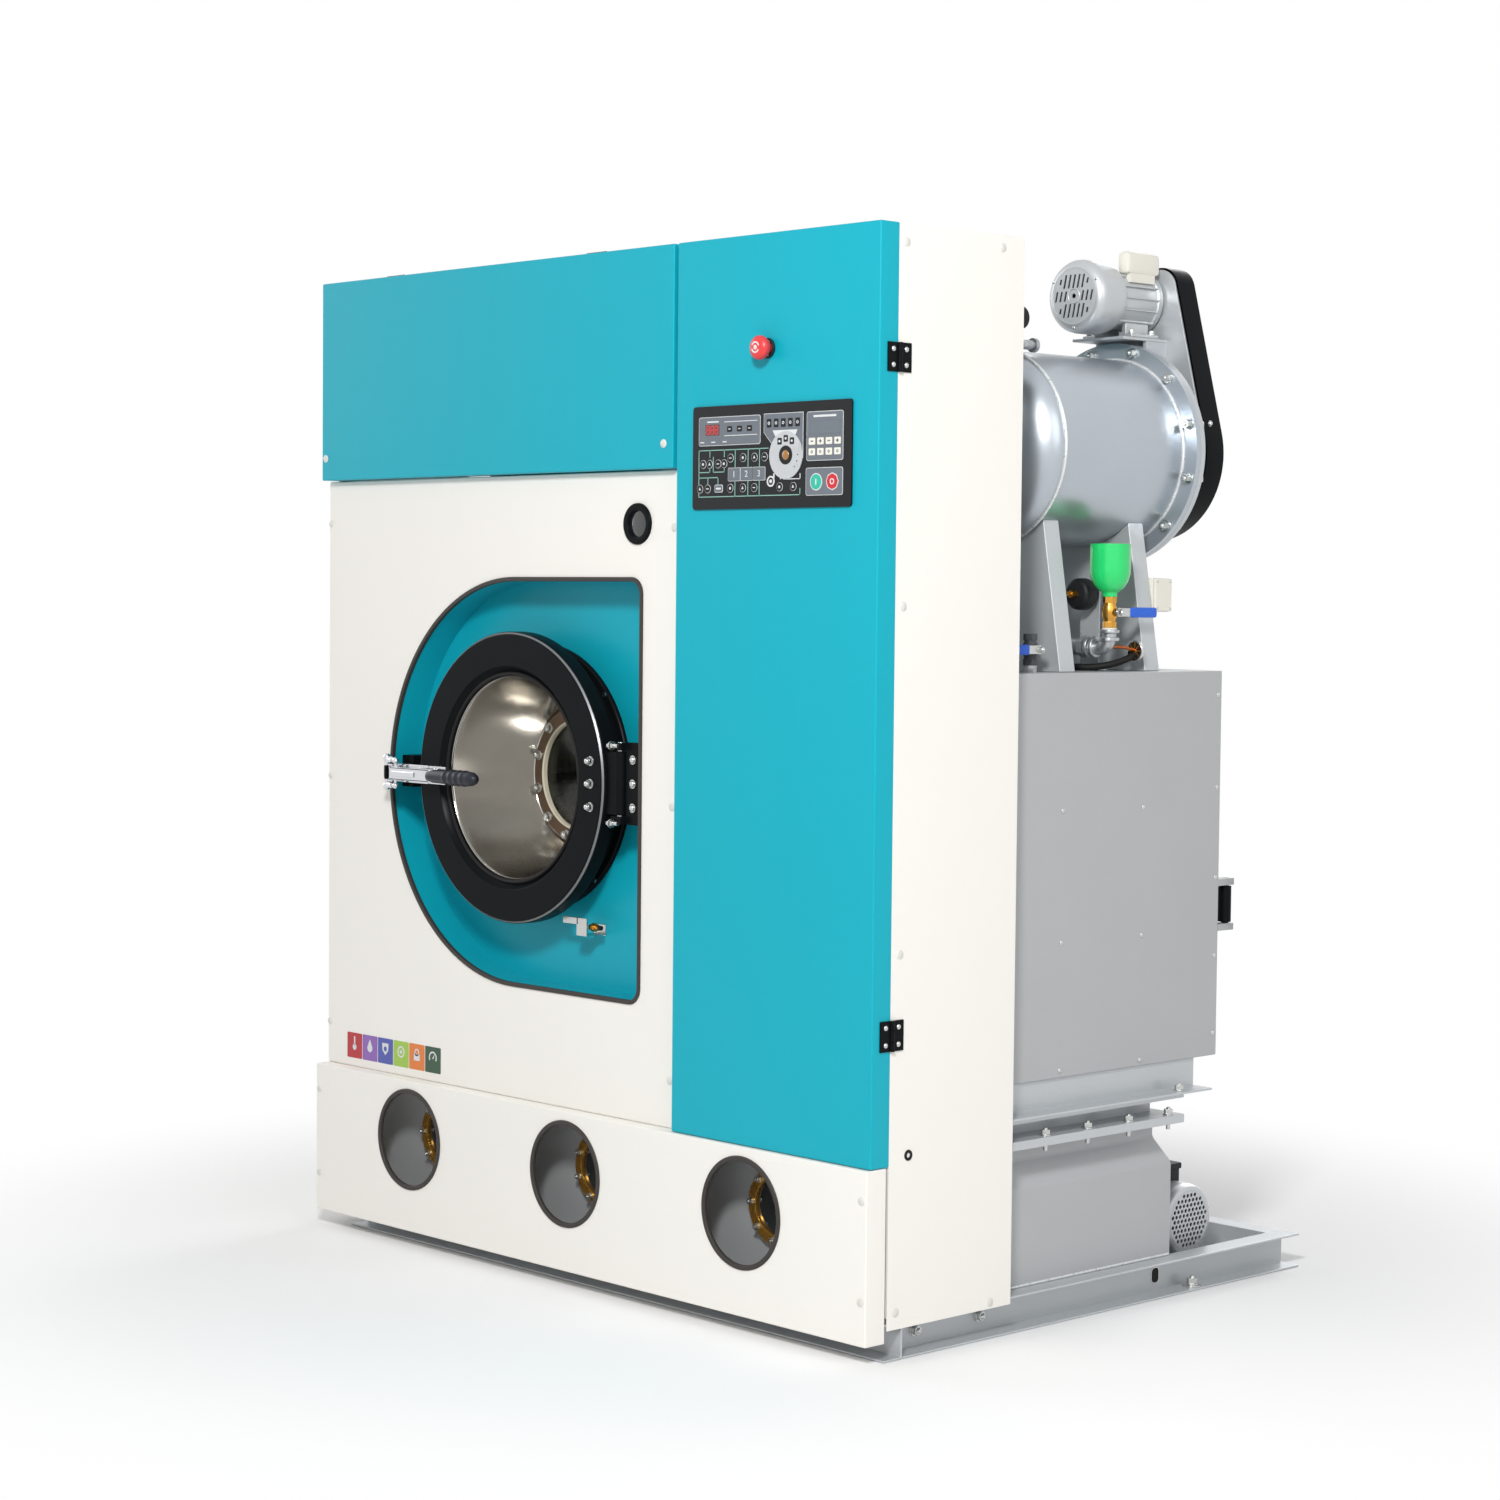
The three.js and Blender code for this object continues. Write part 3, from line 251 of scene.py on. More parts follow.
@dataclass(frozen=True)
class Brushed(Finish):
    """Metal rubbed one way: scratches drawn out along `way`, which is stretched by a large factor."""

    way: Place = (1.0, 1.0, 0.04)

    def height(self, tree: Tree, where: Socket) -> Socket:
        """Returns the scratches."""
        drawn = add(tree, "ShaderNodeMapping", {"Vector": where, "Scale": self.way})
        return noise(tree, drawn.outputs["Vector"], self.grain, 3.0)


@dataclass(frozen=True)
class Spangled(Finish):
    """Hot-dip zinc: crystals a few mm across, each of its own tone."""

    def dress(self, tree: Tree, shader: Node, where: Socket) -> None:
        """Adds the crystals to tone, gloss and relief."""
        cells = add(tree, "ShaderNodeTexVoronoi", {"Vector": where, "Scale": 1 / (self.grain * MM)})
        value = add(tree, "ShaderNodeSeparateColor", {"Color": cells.outputs["Color"]}).outputs["Red"]
        self.vary(tree, shader, value, 2 * self.uneven, 0.2)
        self.emboss(tree, shader, value)


@dataclass(frozen=True)
class FlakePaint(Finish):
    """Aluminium-flake machine paint: a sparkle of flakes over the slow change of tone."""

    flake: float = 2.2  # drawn coarser than the real 0.05 mm, so that it shows
    sparkle: float = 0.05

    def dress(self, tree: Tree, shader: Node, where: Socket) -> None:
        """Adds the flakes over the slow change of tone."""
        super().dress(tree, shader, where)
        base = shader.inputs["Base Color"].links[0].from_socket
        flakes = noise(tree, where, self.flake, 1.0)
        bright = remap(tree, flakes, 1 - self.sparkle, 1 + self.sparkle)
        lit = add(tree, "ShaderNodeVectorMath", {0: base, "Scale": bright}, operation="SCALE")
        tree.links.new(lit.outputs["Vector"], shader.inputs["Base Color"])


@dataclass(frozen=True)
class Glass(Finish):
    """Polished toughened glass: clear, unless `clear` is 0, when it is opaque and its colour paints the
    shade of the room behind it.
    """

    clear: float = 1.0

    def dress(self, tree: Tree, shader: Node, where: Socket) -> None:
        """Lets light through and adds a faint waviness."""
        shader.inputs["Transmission Weight"].default_value = self.clear
        shader.inputs["IOR"].default_value = 1.5
        self.emboss(tree, shader, self.height(tree, where))


@dataclass(frozen=True)
class Glowing(Finish):
    """A lit display behind a tinted window."""

    light: float = 0.6

    def dress(self, tree: Tree, shader: Node, where: Socket) -> None:
        """Adds the light, with the small change of tone of the other finishes."""
        super().dress(tree, shader, where)
        shader.inputs["Emission Color"].default_value = linear(self.colour)
        shader.inputs["Emission Strength"].default_value = self.light


# The numbers after each colour: roughness, metallic, cloud, uneven, grain and relief.
# Powder coat on folded sheet: satin, with the orange peel of the melted powder.
TEAL = Finish("teal_powder_coat", "teal_paint", "#10a9bc", 0.34, 0.0, 420, 0.02, 5, 0.03, shine=0.22)
WHITE = Finish("white_powder_coat", "white_paint", "#f2efe9", 0.42, 0.0, 420, 0.012, 5, 0.03, shine=0.2)
# Two-pack machine paint with aluminium flake, sprayed on the welded parts.
SILVER = FlakePaint(
    "silver_flake_paint", "silver_paint", "#c0c4c7", 0.34, 0.4, 190, 0.05, 7, 0.04, shine=0.3
)
TANK = FlakePaint("grey_machine_paint", "tank_paint", "#b2b4b6", 0.42, 0.2, 240, 0.05, 7, 0.05, shine=0.25)
POLISHED = FlakePaint("polished_silver_paint", "silver_paint", "#b4bbc2", 0.3, 0.7, 170, 0.05, 9, 0.02)
ALLOY = Finish("die_cast_alloy", "silver_paint", "#c2c5c7", 0.38, 0.6, 60, 0.05, 1.8, 0.03)
# Sprayed and baked enamel on turned and pressed steel: near black, semi-gloss.
ENAMEL = Finish("black_enamel", "black_paint", "#101214", 0.33, 0.0, 120, 0.1, 3, 0.02, shine=0.06)
STAINLESS = LatheTurned("spun_stainless", "stainless", "#b6b3ad", 0.17, 1.0, 90, 0.09, 4, 0.012)
# A steel-coloured strip for the black ring's chamfer: a painted highlight, standing in for the light that
# the enamel chamfer catches.
CHAMFER_HIGHLIGHT = LatheTurned("painted_chamfer_highlight", "cast_iron", "#7b7d7f", 0.36, 0.9, 60, 0.08, 3, 0.012)
BRONZE = LatheTurned("turned_bronze", "bronze", "#75604e", 0.4, 0.9, 30, 0.12, 4, 0.02)
SHEET_STEEL = Brushed("brushed_stainless_sheet", "stainless", "#b9b6b0", 0.28, 1.0, 140, 0.06, 2.0, 0.01)
CHROME = Finish("chrome_plate", "chrome", "#d5d7da", 0.1, 1.0, 40, 0.05, 5, 0.01)
ZINC = Finish("zinc_plate", "chrome", "#c6c8c6", 0.26, 1.0, 12, 0.06, 1.5, 0.01)
BRASS = Finish("forged_brass", "brass", "#cf9a45", 0.28, 0.95, 14, 0.1, 1.6, 0.04)
COPPER = Finish("drawn_copper", "brass", "#a35a33", 0.3, 0.95, 20, 0.12, 3, 0.02)
GALVANISED = Spangled("hot_dip_zinc", "galvanised", "#b4b8ba", 0.36, 0.85, 260, 0.1, 6, 0.02)
IRON = Finish("cast_iron", "cast_iron", "#55595c", 0.55, 0.6, 30, 0.12, 1.6, 0.12)
WELD = Finish("painted_weld_bead", "silver_paint", "#dcdedf", 0.3, 0.5, 8, 0.12, 6, 0.9)
# Rubbers: matt, a little mottled, with a fine bloom.
RUBBER = Finish("black_rubber", "rubber", "#1b1a1a", 0.62, 0.0, 60, 0.12, 1.2, 0.03, shine=0.2)
TRIM = Finish("grey_rubber_trim", "rubber", "#3b3735", 0.5, 0.0, 60, 0.1, 1.5, 0.03, shine=0.25)
GRIP = Finish("ribbed_rubber_grip", "rubber", "#1c1e29", 0.36, 0.0, 30, 0.15, 1.4, 0.03, shine=0.35)
SILICONE = Finish("cream_silicone_seal", "white_plastic", "#cfc8b2", 0.45, 0.0, 30, 0.06, 2, 0.02)
# Moulded plastics: the fine spark-eroded grain of the mould, under a low gloss.
GREEN = Finish("green_moulded_plastic", "green_plastic", "#1ed06c", 0.26, 0.0, 40, 0.05, 6, 0.03, coat=0.3)
BLUE = Finish("blue_dipped_vinyl", "blue_grip", "#1f5fd0", 0.36, 0.0, 20, 0.07, 2, 0.04)
RED = Finish("red_moulded_plastic", "red_plastic", "#dc3a3c", 0.34, 0.0, 14, 0.05, 1, 0.01)
CREAM = Finish("cream_moulded_plastic", "white_plastic", "#e6e3d8", 0.45, 0.0, 30, 0.03, 1.2, 0.02)
BLACK = Finish("black_moulded_plastic", "black_plastic", "#1b1d20", 0.5, 0.0, 40, 0.1, 1, 0.03, shine=0.25)
CAP = Finish("pearl_plastic_cap", "white_plastic", "#d9d8d2", 0.3, 0.0, 8, 0.06, 1, 0.01)
# The control panel's face: inks under a satin polyester film.
FILM = Finish("black_polyester_film", "black_plastic", "#15171a", 0.4, 0.0, 90, 0.08, 1.5, 0.01, shine=0.25)
GREY_INK = Finish("grey_panel_ink", "black_plastic", "#6d737b", 0.42, 0.0, 30, 0.04, 1.5, 0.01, shine=0.25)
PALE_INK = Finish("pale_panel_ink", "white_plastic", "#d9dbdc", 0.42, 0.0, 30, 0.03, 1.5, 0.01, shine=0.25)
FLOW_INK = Finish("green_grey_flow_ink", "black_plastic", "#86b5a8", 0.42, 0.0, 40, 0.05, 1.5, 0.01)
DISC_INK = Finish("silver_panel_ink", "silver_paint", "#c4c7ca", 0.3, 0.4, 26, 0.16, 1.5, 0.01)
AMBER_INK = Finish("amber_key_dome", "brass", "#9a6a2c", 0.3, 0.0, 6, 0.2, 1, 0.02, coat=0.5)
START_INK = Finish("green_start_key", "green_plastic", "#2bb59b", 0.35, 0.0, 8, 0.05, 1, 0.01)
STOP_INK = Finish("red_stop_key", "red_plastic", "#c8202c", 0.35, 0.0, 8, 0.05, 1, 0.01)
LCD = Finish("grey_lcd_window", "dark_glass", "#5b6670", 0.12, 0.0, 30, 0.06, 6, 0.005, coat=1.0)
LED = Finish("dark_red_led_window", "dark_glass", "#5c1418", 0.15, 0.0, 10, 0.1, 4, 0.005, coat=1.0)
LED_ON = Glowing("lit_red_segments", "red_plastic", "#c8323a", 0.3, 0.0, 6, 0.1, 1, 0.005)
CLEAR = Glass("door_glass", "dark_glass", "#dfe6e2", 0.02, grain=60, relief=0.05)
# Opaque glass whose dark colour paints the shade of the unlit room behind the sight glasses.
SHADE_GLASS = Glass("sight_glass_painted_shade", "dark_glass", "#1b2023", 0.06, coat=1.0, grain=40, relief=0.05, clear=0.0)
STICKERS = [
    Finish(f"vinyl_sticker_{name}", "white_plastic", colour, 0.3, 0.0, 30, 0.04, 2, 0.01)
    for name, colour in {
        "red": "#b3262f",
        "violet": "#8b5fb0",
        "blue": "#4a55a8",
        "lime": "#9cc24a",
        "orange": "#dd7b33",
        "dark_green": "#2a4c33",
    }.items()
]


# ---------------------------------------------------------------- shapes


class Axis(Enum):
    """The machine axis that a rod, a turned profile or an outline runs along."""

    X = ((0, 1, 0), (0, 0, 1), (1, 0, 0))
    Y = ((1, 0, 0), (0, 0, 1), (0, 1, 0))
    Z = ((1, 0, 0), (0, 1, 0), (0, 0, 1))

    @property
    def way(self) -> Vector:
        """The axis's direction."""
        return Vector(self.value[2])

    def turned(self) -> Matrix:
        """Returns the matrix from (across, up, along) to machine x, y and z."""
        return Matrix([Vector(column) for column in self.value]).transposed().to_4x4()

    def at(self, centre: Spot, along: float = 0.0) -> Vector:
        """Returns the machine point at a centre on the other two axes and a place along this one."""
        return self.turned() @ Vector((centre[0], centre[1], along))


def about(middle: float, half: float) -> Span:
    """Returns the span that reaches as far to each side of a middle."""
    return (middle - half, middle + half)


def moved(points: Outline, to: Spot) -> list[Spot]:
    """Returns points that were drawn about (0, 0), moved to a place."""
    return [(u + to[0], v + to[1]) for u, v in points]


X, Y, Z = Axis


def arc(centre: Spot, radius: float, start: float, end: float, steps: int) -> list[Spot]:
    """Works out points along an arc.

    Args:
        centre: the arc's centre.
        radius: its radius.
        start: the angle that it starts at, in turns.
        end: the angle that it ends at, in turns.
        steps: how many straight pieces it has.

    Returns:
        The points, both ends included.
    """
    angles = [TURN * (start + (end - start) * step / steps) for step in range(steps + 1)]
    return [(centre[0] + radius * math.cos(a), centre[1] + radius * math.sin(a)) for a in angles]


def circle(centre: Spot, radius: float, steps: int = 64) -> list[Spot]:
    """Returns a full circle's points, once each."""
    return arc(centre, radius, 0.0, 1.0, steps)[:-1]


def rounded(x: Span, z: Span, corner: float) -> list[Spot]:
    """Returns a rectangle's outline with round corners."""
    inset = [(x[1] - corner, z[1] - corner), (x[0] + corner, z[1] - corner)]
    inset += [(x[0] + corner, z[0] + corner), (x[1] - corner, z[0] + corner)]
    return [spot for i, centre in enumerate(inset) for spot in arc(centre, corner, i / 4, (i + 1) / 4, 5)]


def grid(across: Iterable[float], along: Iterable[float]) -> list[Spot]:
    """Returns a place for each pair of a value across and a value along."""
    rows = list(along)
    return [(u, v) for u in across for v in rows]


def circle_row(centre: Spot, radius: float, count: int, start: float = 0.0) -> list[Spot]:
    """Returns evenly spaced places round a circle, from a start in turns."""
    return arc(centre, radius, start, start + 1.0, count)[:-1]


class Shape:
    """A mesh being made from bmesh operators, in machine millimetres."""

    def __init__(self) -> None:
        """Starts with nothing."""
        self.bm = bmesh.new()

    def soften(self, parts: Iterable, width: float, steps: int = 2, affect: str = "EDGES") -> Shape:
        """Rounds edges over by a width, or cuts corners off where `affect` is "VERTICES"."""
        bmesh.ops.bevel(
            self.bm,
            geom=list(parts),
            offset=width,
            offset_type="OFFSET",
            segments=steps,
            profile=0.5,
            affect=affect,
            clamp_overlap=True,
            material=-1,
        )
        return self

    def creases(self, low: float = CREASE, high: float = TURN) -> list[bmesh.types.BMEdge]:
        """Returns the edges whose two faces stand at an angle between two values."""
        return [e for e in self.bm.edges if e.is_manifold and low < e.calc_face_angle(0.0) < high]

    def draw_out(self, drawn: dict, way: Vector) -> None:
        """Moves what an extrusion made."""
        verts = [item for item in drawn["geom"] if isinstance(item, bmesh.types.BMVert)]
        bmesh.ops.translate(self.bm, verts=verts, vec=way)

    def take(self, other: Shape) -> Shape:
        """Adds what another shape holds, and empties that one."""
        held = bpy.data.meshes.new("held")
        other.bm.to_mesh(held)
        other.bm.free()
        return self.hold(held)

    def hold(self, mesh: bpy.types.Mesh) -> Shape:
        """Adds a mesh, and removes that one."""
        self.bm.from_mesh(mesh)
        bpy.data.meshes.remove(mesh)
        return self

    def copy_of(self, node: str) -> Shape:
        """Starts from a CAD node's own solid, its triangles merged to flat faces."""
        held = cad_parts[node].data.copy()
        held.transform(ROOM.inverted())
        self.hold(held)
        bmesh.ops.remove_doubles(self.bm, verts=self.bm.verts[:], dist=0.01)
        bmesh.ops.dissolve_limit(
            self.bm, angle_limit=math.radians(0.5), verts=self.bm.verts[:], edges=self.bm.edges[:]
        )
        return self

    def box(self, x: Span, y: Span, z: Span, soft: float = 0.0) -> Shape:
        """Adds a block between two values on each axis, its edges rounded by `soft`."""
        low, high = Vector((x[0], y[0], z[0])), Vector((x[1], y[1], z[1]))
        size = Matrix.Diagonal((*(high - low), 1.0))
        made = bmesh.ops.create_cube(self.bm, size=1.0, matrix=Matrix.Translation((low + high) / 2) @ size)
        if soft:
            self.soften({edge for vert in made["verts"] for edge in vert.link_edges}, soft)
        return self

    def rod(
        self,
        axis: Axis,
        radius: float,
        start: float,
        end: float,
        centre: Spot,
        sides: int = 32,
        tip: float | None = None,
    ) -> Shape:
        """Adds a round bar.

        Args:
            axis: the way it runs.
            radius: its radius.
            start: where it starts along the axis.
            end: where it ends.
            centre: its centre on the other two axes.
            sides: how many flats it has; six make a hexagon.
            tip: its radius at the end, where that differs.

        Returns:
            This shape.
        """
        place = axis.turned() @ Matrix.Translation((*centre, (start + end) / 2))
        return self.cone(place, sides, radius, radius if tip is None else tip, end - start)

    def cone(self, place: Matrix, sides: int, low: float, high: float, length: float) -> Shape:
        """Adds a bar along a placing matrix's z, with a radius at its low and at its high end."""
        bmesh.ops.create_cone(
            self.bm,
            cap_ends=True,
            segments=sides,
            radius1=low,
            radius2=high,
            depth=length,
            matrix=place,
        )
        return self

    def turn(
        self, axis: Axis, profile: Outline, centre: Spot, closed: bool = False, steps: int = 96
    ) -> Shape:
        """Turns a profile about an axis.

        Args:
            axis: the axis that it turns about.
            profile: points of (radius, place along the axis).
            centre: the axis's place on the other two axes.
            closed: True for a ring's profile, which ends where it starts.
            steps: how many steps make the full turn.

        Returns:
            This shape.
        """
        way = axis.turned()
        verts = [self.bm.verts.new(way @ Vector((centre[0] + r, centre[1], at))) for r, at in profile]
        pairs = zip(verts, verts[1:] + verts[:1] if closed else verts[1:])
        edges = [self.bm.edges.new(pair) for pair in pairs]
        bmesh.ops.spin(
            self.bm,
            geom=verts + edges,
            cent=axis.at(centre),
            axis=axis.way,
            dvec=(0.0, 0.0, 0.0),
            angle=TURN,
            steps=steps,
            use_merge=True,
            use_duplicate=False,
        )
        return self

    def ring(
        self, axis: Axis, radius: float, wire: float, centre: Spot, along: float, steps: int = 96
    ) -> Shape:
        """Adds a ring of round wire."""
        return self.turn(axis, circle((radius, along), wire, 12), centre, True, steps)

    def ball(self, centre: Place, radius: float) -> Shape:
        """Adds a ball."""
        bmesh.ops.create_uvsphere(
            self.bm, u_segments=20, v_segments=12, radius=radius, matrix=Matrix.Translation(centre)
        )
        return self

    def flat(self, axis: Axis, outline: Outline, along: float, holes: Holes = ()) -> list:
        """Fills an outline less its holes.

        Args:
            axis: the axis that the flat stands across.
            outline: its outer edge's points.
            along: its place along the axis.
            holes: an outline for each hole.

        Returns:
            The faces, and the edges of the outer outline.
        """
        way = axis.turned()
        loops = []
        for points in (outline, *holes):
            verts = [self.bm.verts.new(way @ Vector((*point, along))) for point in points]
            loops.append([self.bm.edges.new(pair) for pair in zip(verts, verts[1:] + verts[:1])])
        edges = [edge for loop in loops for edge in loop]
        filled = bmesh.ops.triangle_fill(self.bm, use_beauty=True, use_dissolve=False, edges=edges)
        return [[item for item in filled["geom"] if isinstance(item, bmesh.types.BMFace)], loops[0]]

    def prism(self, axis: Axis, outline: Outline, start: float, end: float, holes: Holes = ()) -> Shape:
        """Draws an outline, less its holes, out along an axis."""
        faces, _ = self.flat(axis, outline, start, holes)
        self.draw_out(bmesh.ops.extrude_face_region(self.bm, geom=faces), axis.way * (end - start))
        return self

    def tray(
        self,
        axis: Axis,
        outline: Outline,
        face: float,
        back: float,
        holes: Holes = (),
        fold: float = 2.5,
    ) -> Shape:
        """Folds a sheet to a tray, open at the back.

        Args:
            axis: the axis that its face stands across.
            outline: the face's outer edge.
            face: the face's place along the axis.
            back: where its folded edges end.
            holes: an outline for each hole in the face.
            fold: the radius of its folds.

        Returns:
            This shape, one surface thick.
        """
        _, rim = self.flat(axis, outline, face, holes)
        self.draw_out(bmesh.ops.extrude_edge_only(self.bm, edges=rim), axis.way * (back - face))
        return self.soften(self.creases(), fold, 3)

    def bolt(
        self, axis: Axis, centre: Spot, seat: float, out: float, across: float = 10.0, washer: bool = True
    ) -> Shape:
        """Adds a hexagon head with a washer and a rounded end.

        Args:
            axis: the way that the bolt points.
            centre: its centre on the other two axes.
            seat: the face that it sits on.
            out: 1 where its head points up the axis, -1 where it points down.
            across: the head's width across its corners.
            washer: whether a washer lies under it.

        Returns:
            This shape.
        """
        radius = across / 2
        foot = seat
        if washer:
            foot = seat + out * across * 0.14
            self.rod(axis, radius * 1.25, min(seat, foot), max(seat, foot), centre, 20)
        top = foot + out * across * 0.5
        self.rod(axis, radius, min(foot, top), max(foot, top), centre, 6)
        end = top + out * across * 0.22
        small, large = radius * 0.35, radius * 0.62
        ends = (large, small) if out > 0 else (small, large)
        self.rod(axis, ends[0], min(top, end), max(top, end), centre, 12, ends[1])
        return self

    def dome(self, axis: Axis, centre: Spot, seat: float, out: float, radius: float, height: float) -> Shape:
        """Adds a low dome, as a rivet's or a cap's."""
        profile = [(radius, seat), (radius, seat + out * height * 0.35)]
        profile += [(radius * 0.78, seat + out * height * 0.8), (radius * 0.4, seat + out * height)]
        return self.turn(axis, [*profile, (0.0, seat + out * height)], centre, steps=16)

    def bolts(self, axis: Axis, spots: Outline, seat: float, out: float, across: float) -> Shape:
        """Adds a bolt at each of some places."""
        for spot in spots:
            self.bolt(axis, spot, seat, out, across)
        return self

    def domes(
        self, axis: Axis, spots: Outline, seat: float, out: float, radius: float, height: float
    ) -> Shape:
        """Adds a low dome at each of some places."""
        for spot in spots:
            self.dome(axis, spot, seat, out, radius, height)
        return self

    def round(self, axis: Axis, centre: Spot, count: int, make: Callable[[Shape], object]) -> Shape:
        """Makes one piece and repeats it evenly round an axis."""
        one = Shape()
        make(one)
        bmesh.ops.spin(
            one.bm,
            geom=one.bm.verts[:] + one.bm.edges[:] + one.bm.faces[:],
            cent=axis.at(centre),
            axis=axis.way,
            dvec=(0.0, 0.0, 0.0),
            angle=TURN * (count - 1) / count,
            steps=count - 1,
            use_merge=False,
            use_duplicate=True,
        )
        return self.take(one)

    def into(
        self,
        name: str,
        look: Finish,
        body: str = "frame",
        stands_for: Iterable[str] = (),
        edge: float = 0.0,
        wall: float = 0.0,
    ) -> bpy.types.Object:
        """Finishes the shape as a piece of the machine.

        Args:
            name: the piece's name.
            look: its finish.
            body: the CAD body that it moves with.
            stands_for: the CAD nodes that it is shown in place of.
            edge: how far its sharp edges are rounded.
            wall: the sheet's thickness, for a shape one surface thick.

        Returns:
            The piece.
        """
        bm = self.bm
        bmesh.ops.remove_doubles(bm, verts=bm.verts[:], dist=SAME_PLACE)
        bmesh.ops.recalc_face_normals(bm, faces=bm.faces[:])
        if edge:
            self.soften(self.creases(), edge)
        bmesh.ops.transform(bm, matrix=ROOM, verts=bm.verts[:])
        mesh = bpy.data.meshes.new(name)
        bm.to_mesh(mesh)
        bm.free()
        mesh.materials.append(look.material())
        mesh.shade_smooth()
        mesh.set_sharp_from_angle(angle=SHARP)
        made = linked(name, mesh)
        if wall:
            thick = made.modifiers.new("sheet", "SOLIDIFY")
            thick.thickness = wall * MM
            thick.offset = -1.0
            thick.use_even_offset = True
        made.modifiers.new("even_shading", "WEIGHTED_NORMAL").keep_sharp = True
        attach(made, body)
        if stands_for:
            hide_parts(*stands_for)
        LOG.info("%s: %d faces on %s", name, len(mesh.polygons), body)
        return made


def drawn_mesh(curve: bpy.types.Curve) -> bpy.types.Mesh:
    """Returns the mesh of a curve or of a text."""
    drawn = linked("drawn", curve)
    bpy.context.view_layer.update()
    held = bpy.data.meshes.new_from_object(drawn.evaluated_get(bpy.context.evaluated_depsgraph_get()))
    bpy.data.objects.remove(drawn)
    return held


def pipe(name: str, points: Sequence[Place], radius: float, look: Finish) -> None:
    """Lays a round pipe or hose, fixed to the frame, along a smooth line.

    Args:
        name: the piece's name.
        points: places that its centre passes through.
        radius: its outer radius.
        look: its finish.
    """
    line = bpy.data.curves.new(name, "CURVE")
    line.dimensions = "3D"
    line.bevel_depth = radius
    line.bevel_resolution = 4
    line.resolution_u = 8
    line.use_fill_caps = True
    spline = line.splines.new("BEZIER")
    spline.bezier_points.add(len(points) - 1)
    for knot, point in zip(spline.bezier_points, points):
        knot.co = point
        knot.handle_left_type = knot.handle_right_type = "AUTO"
    Shape().hold(drawn_mesh(line)).into(name, look)


# ---------------------------------------------------------------- sub-assemblies


def rebuilt(names: Iterable[str], look: Finish, edge: float, body: str = "frame") -> None:
    """Shows CAD nodes as they are, with their sharp edges rounded.

    Args:
        names: the nodes.
        look: their finish.
        edge: how far their edges are rounded.
        body: the body that they move with.
    """
    for name in names:
        Shape().copy_of(name).into(name + "_made", look, body, [name], edge=edge)


@dataclass
class BaseFrame:
    """The rolled channel rails that everything stands on."""

    web: float = 712.5  # outer face of the right rail's web
    slot: tuple[Span, Span] = ((762.0, 785.0), (16.0, 46.0))
    bolts: tuple[Spot, ...] = ((150.0, 31.0), (306.0, 31.0))
    foot_bolt: Spot = (735.0, 851.0)

    def build(self) -> None:
        """Makes the rails and their bolts."""
        rebuilt([f"base_{side}_rail" for side in ("front", "rear", "left", "right")], SILVER, 1.2)
        bolts = Shape().bolts(X, self.bolts, self.web, 1, 17)
        bolts.rod(Z, 17, 4, 7, self.foot_bolt, 40).bolt(Z, self.foot_bolt, 7, 1, 19)
        (y0, y1), (z0, z1) = self.slot
        hole = rounded((y0 + 2, y1 - 2), (z0 + 2, z1 - 2), 7)
        bolts.prism(X, rounded(*self.slot, 9), self.web, self.web + 0.8, [hole])
        bolts.into("rail_bolts", ZINC, edge=0.4)
        Shape().prism(X, hole, self.web, self.web + 0.4).into("rail_slot_shade", RUBBER)


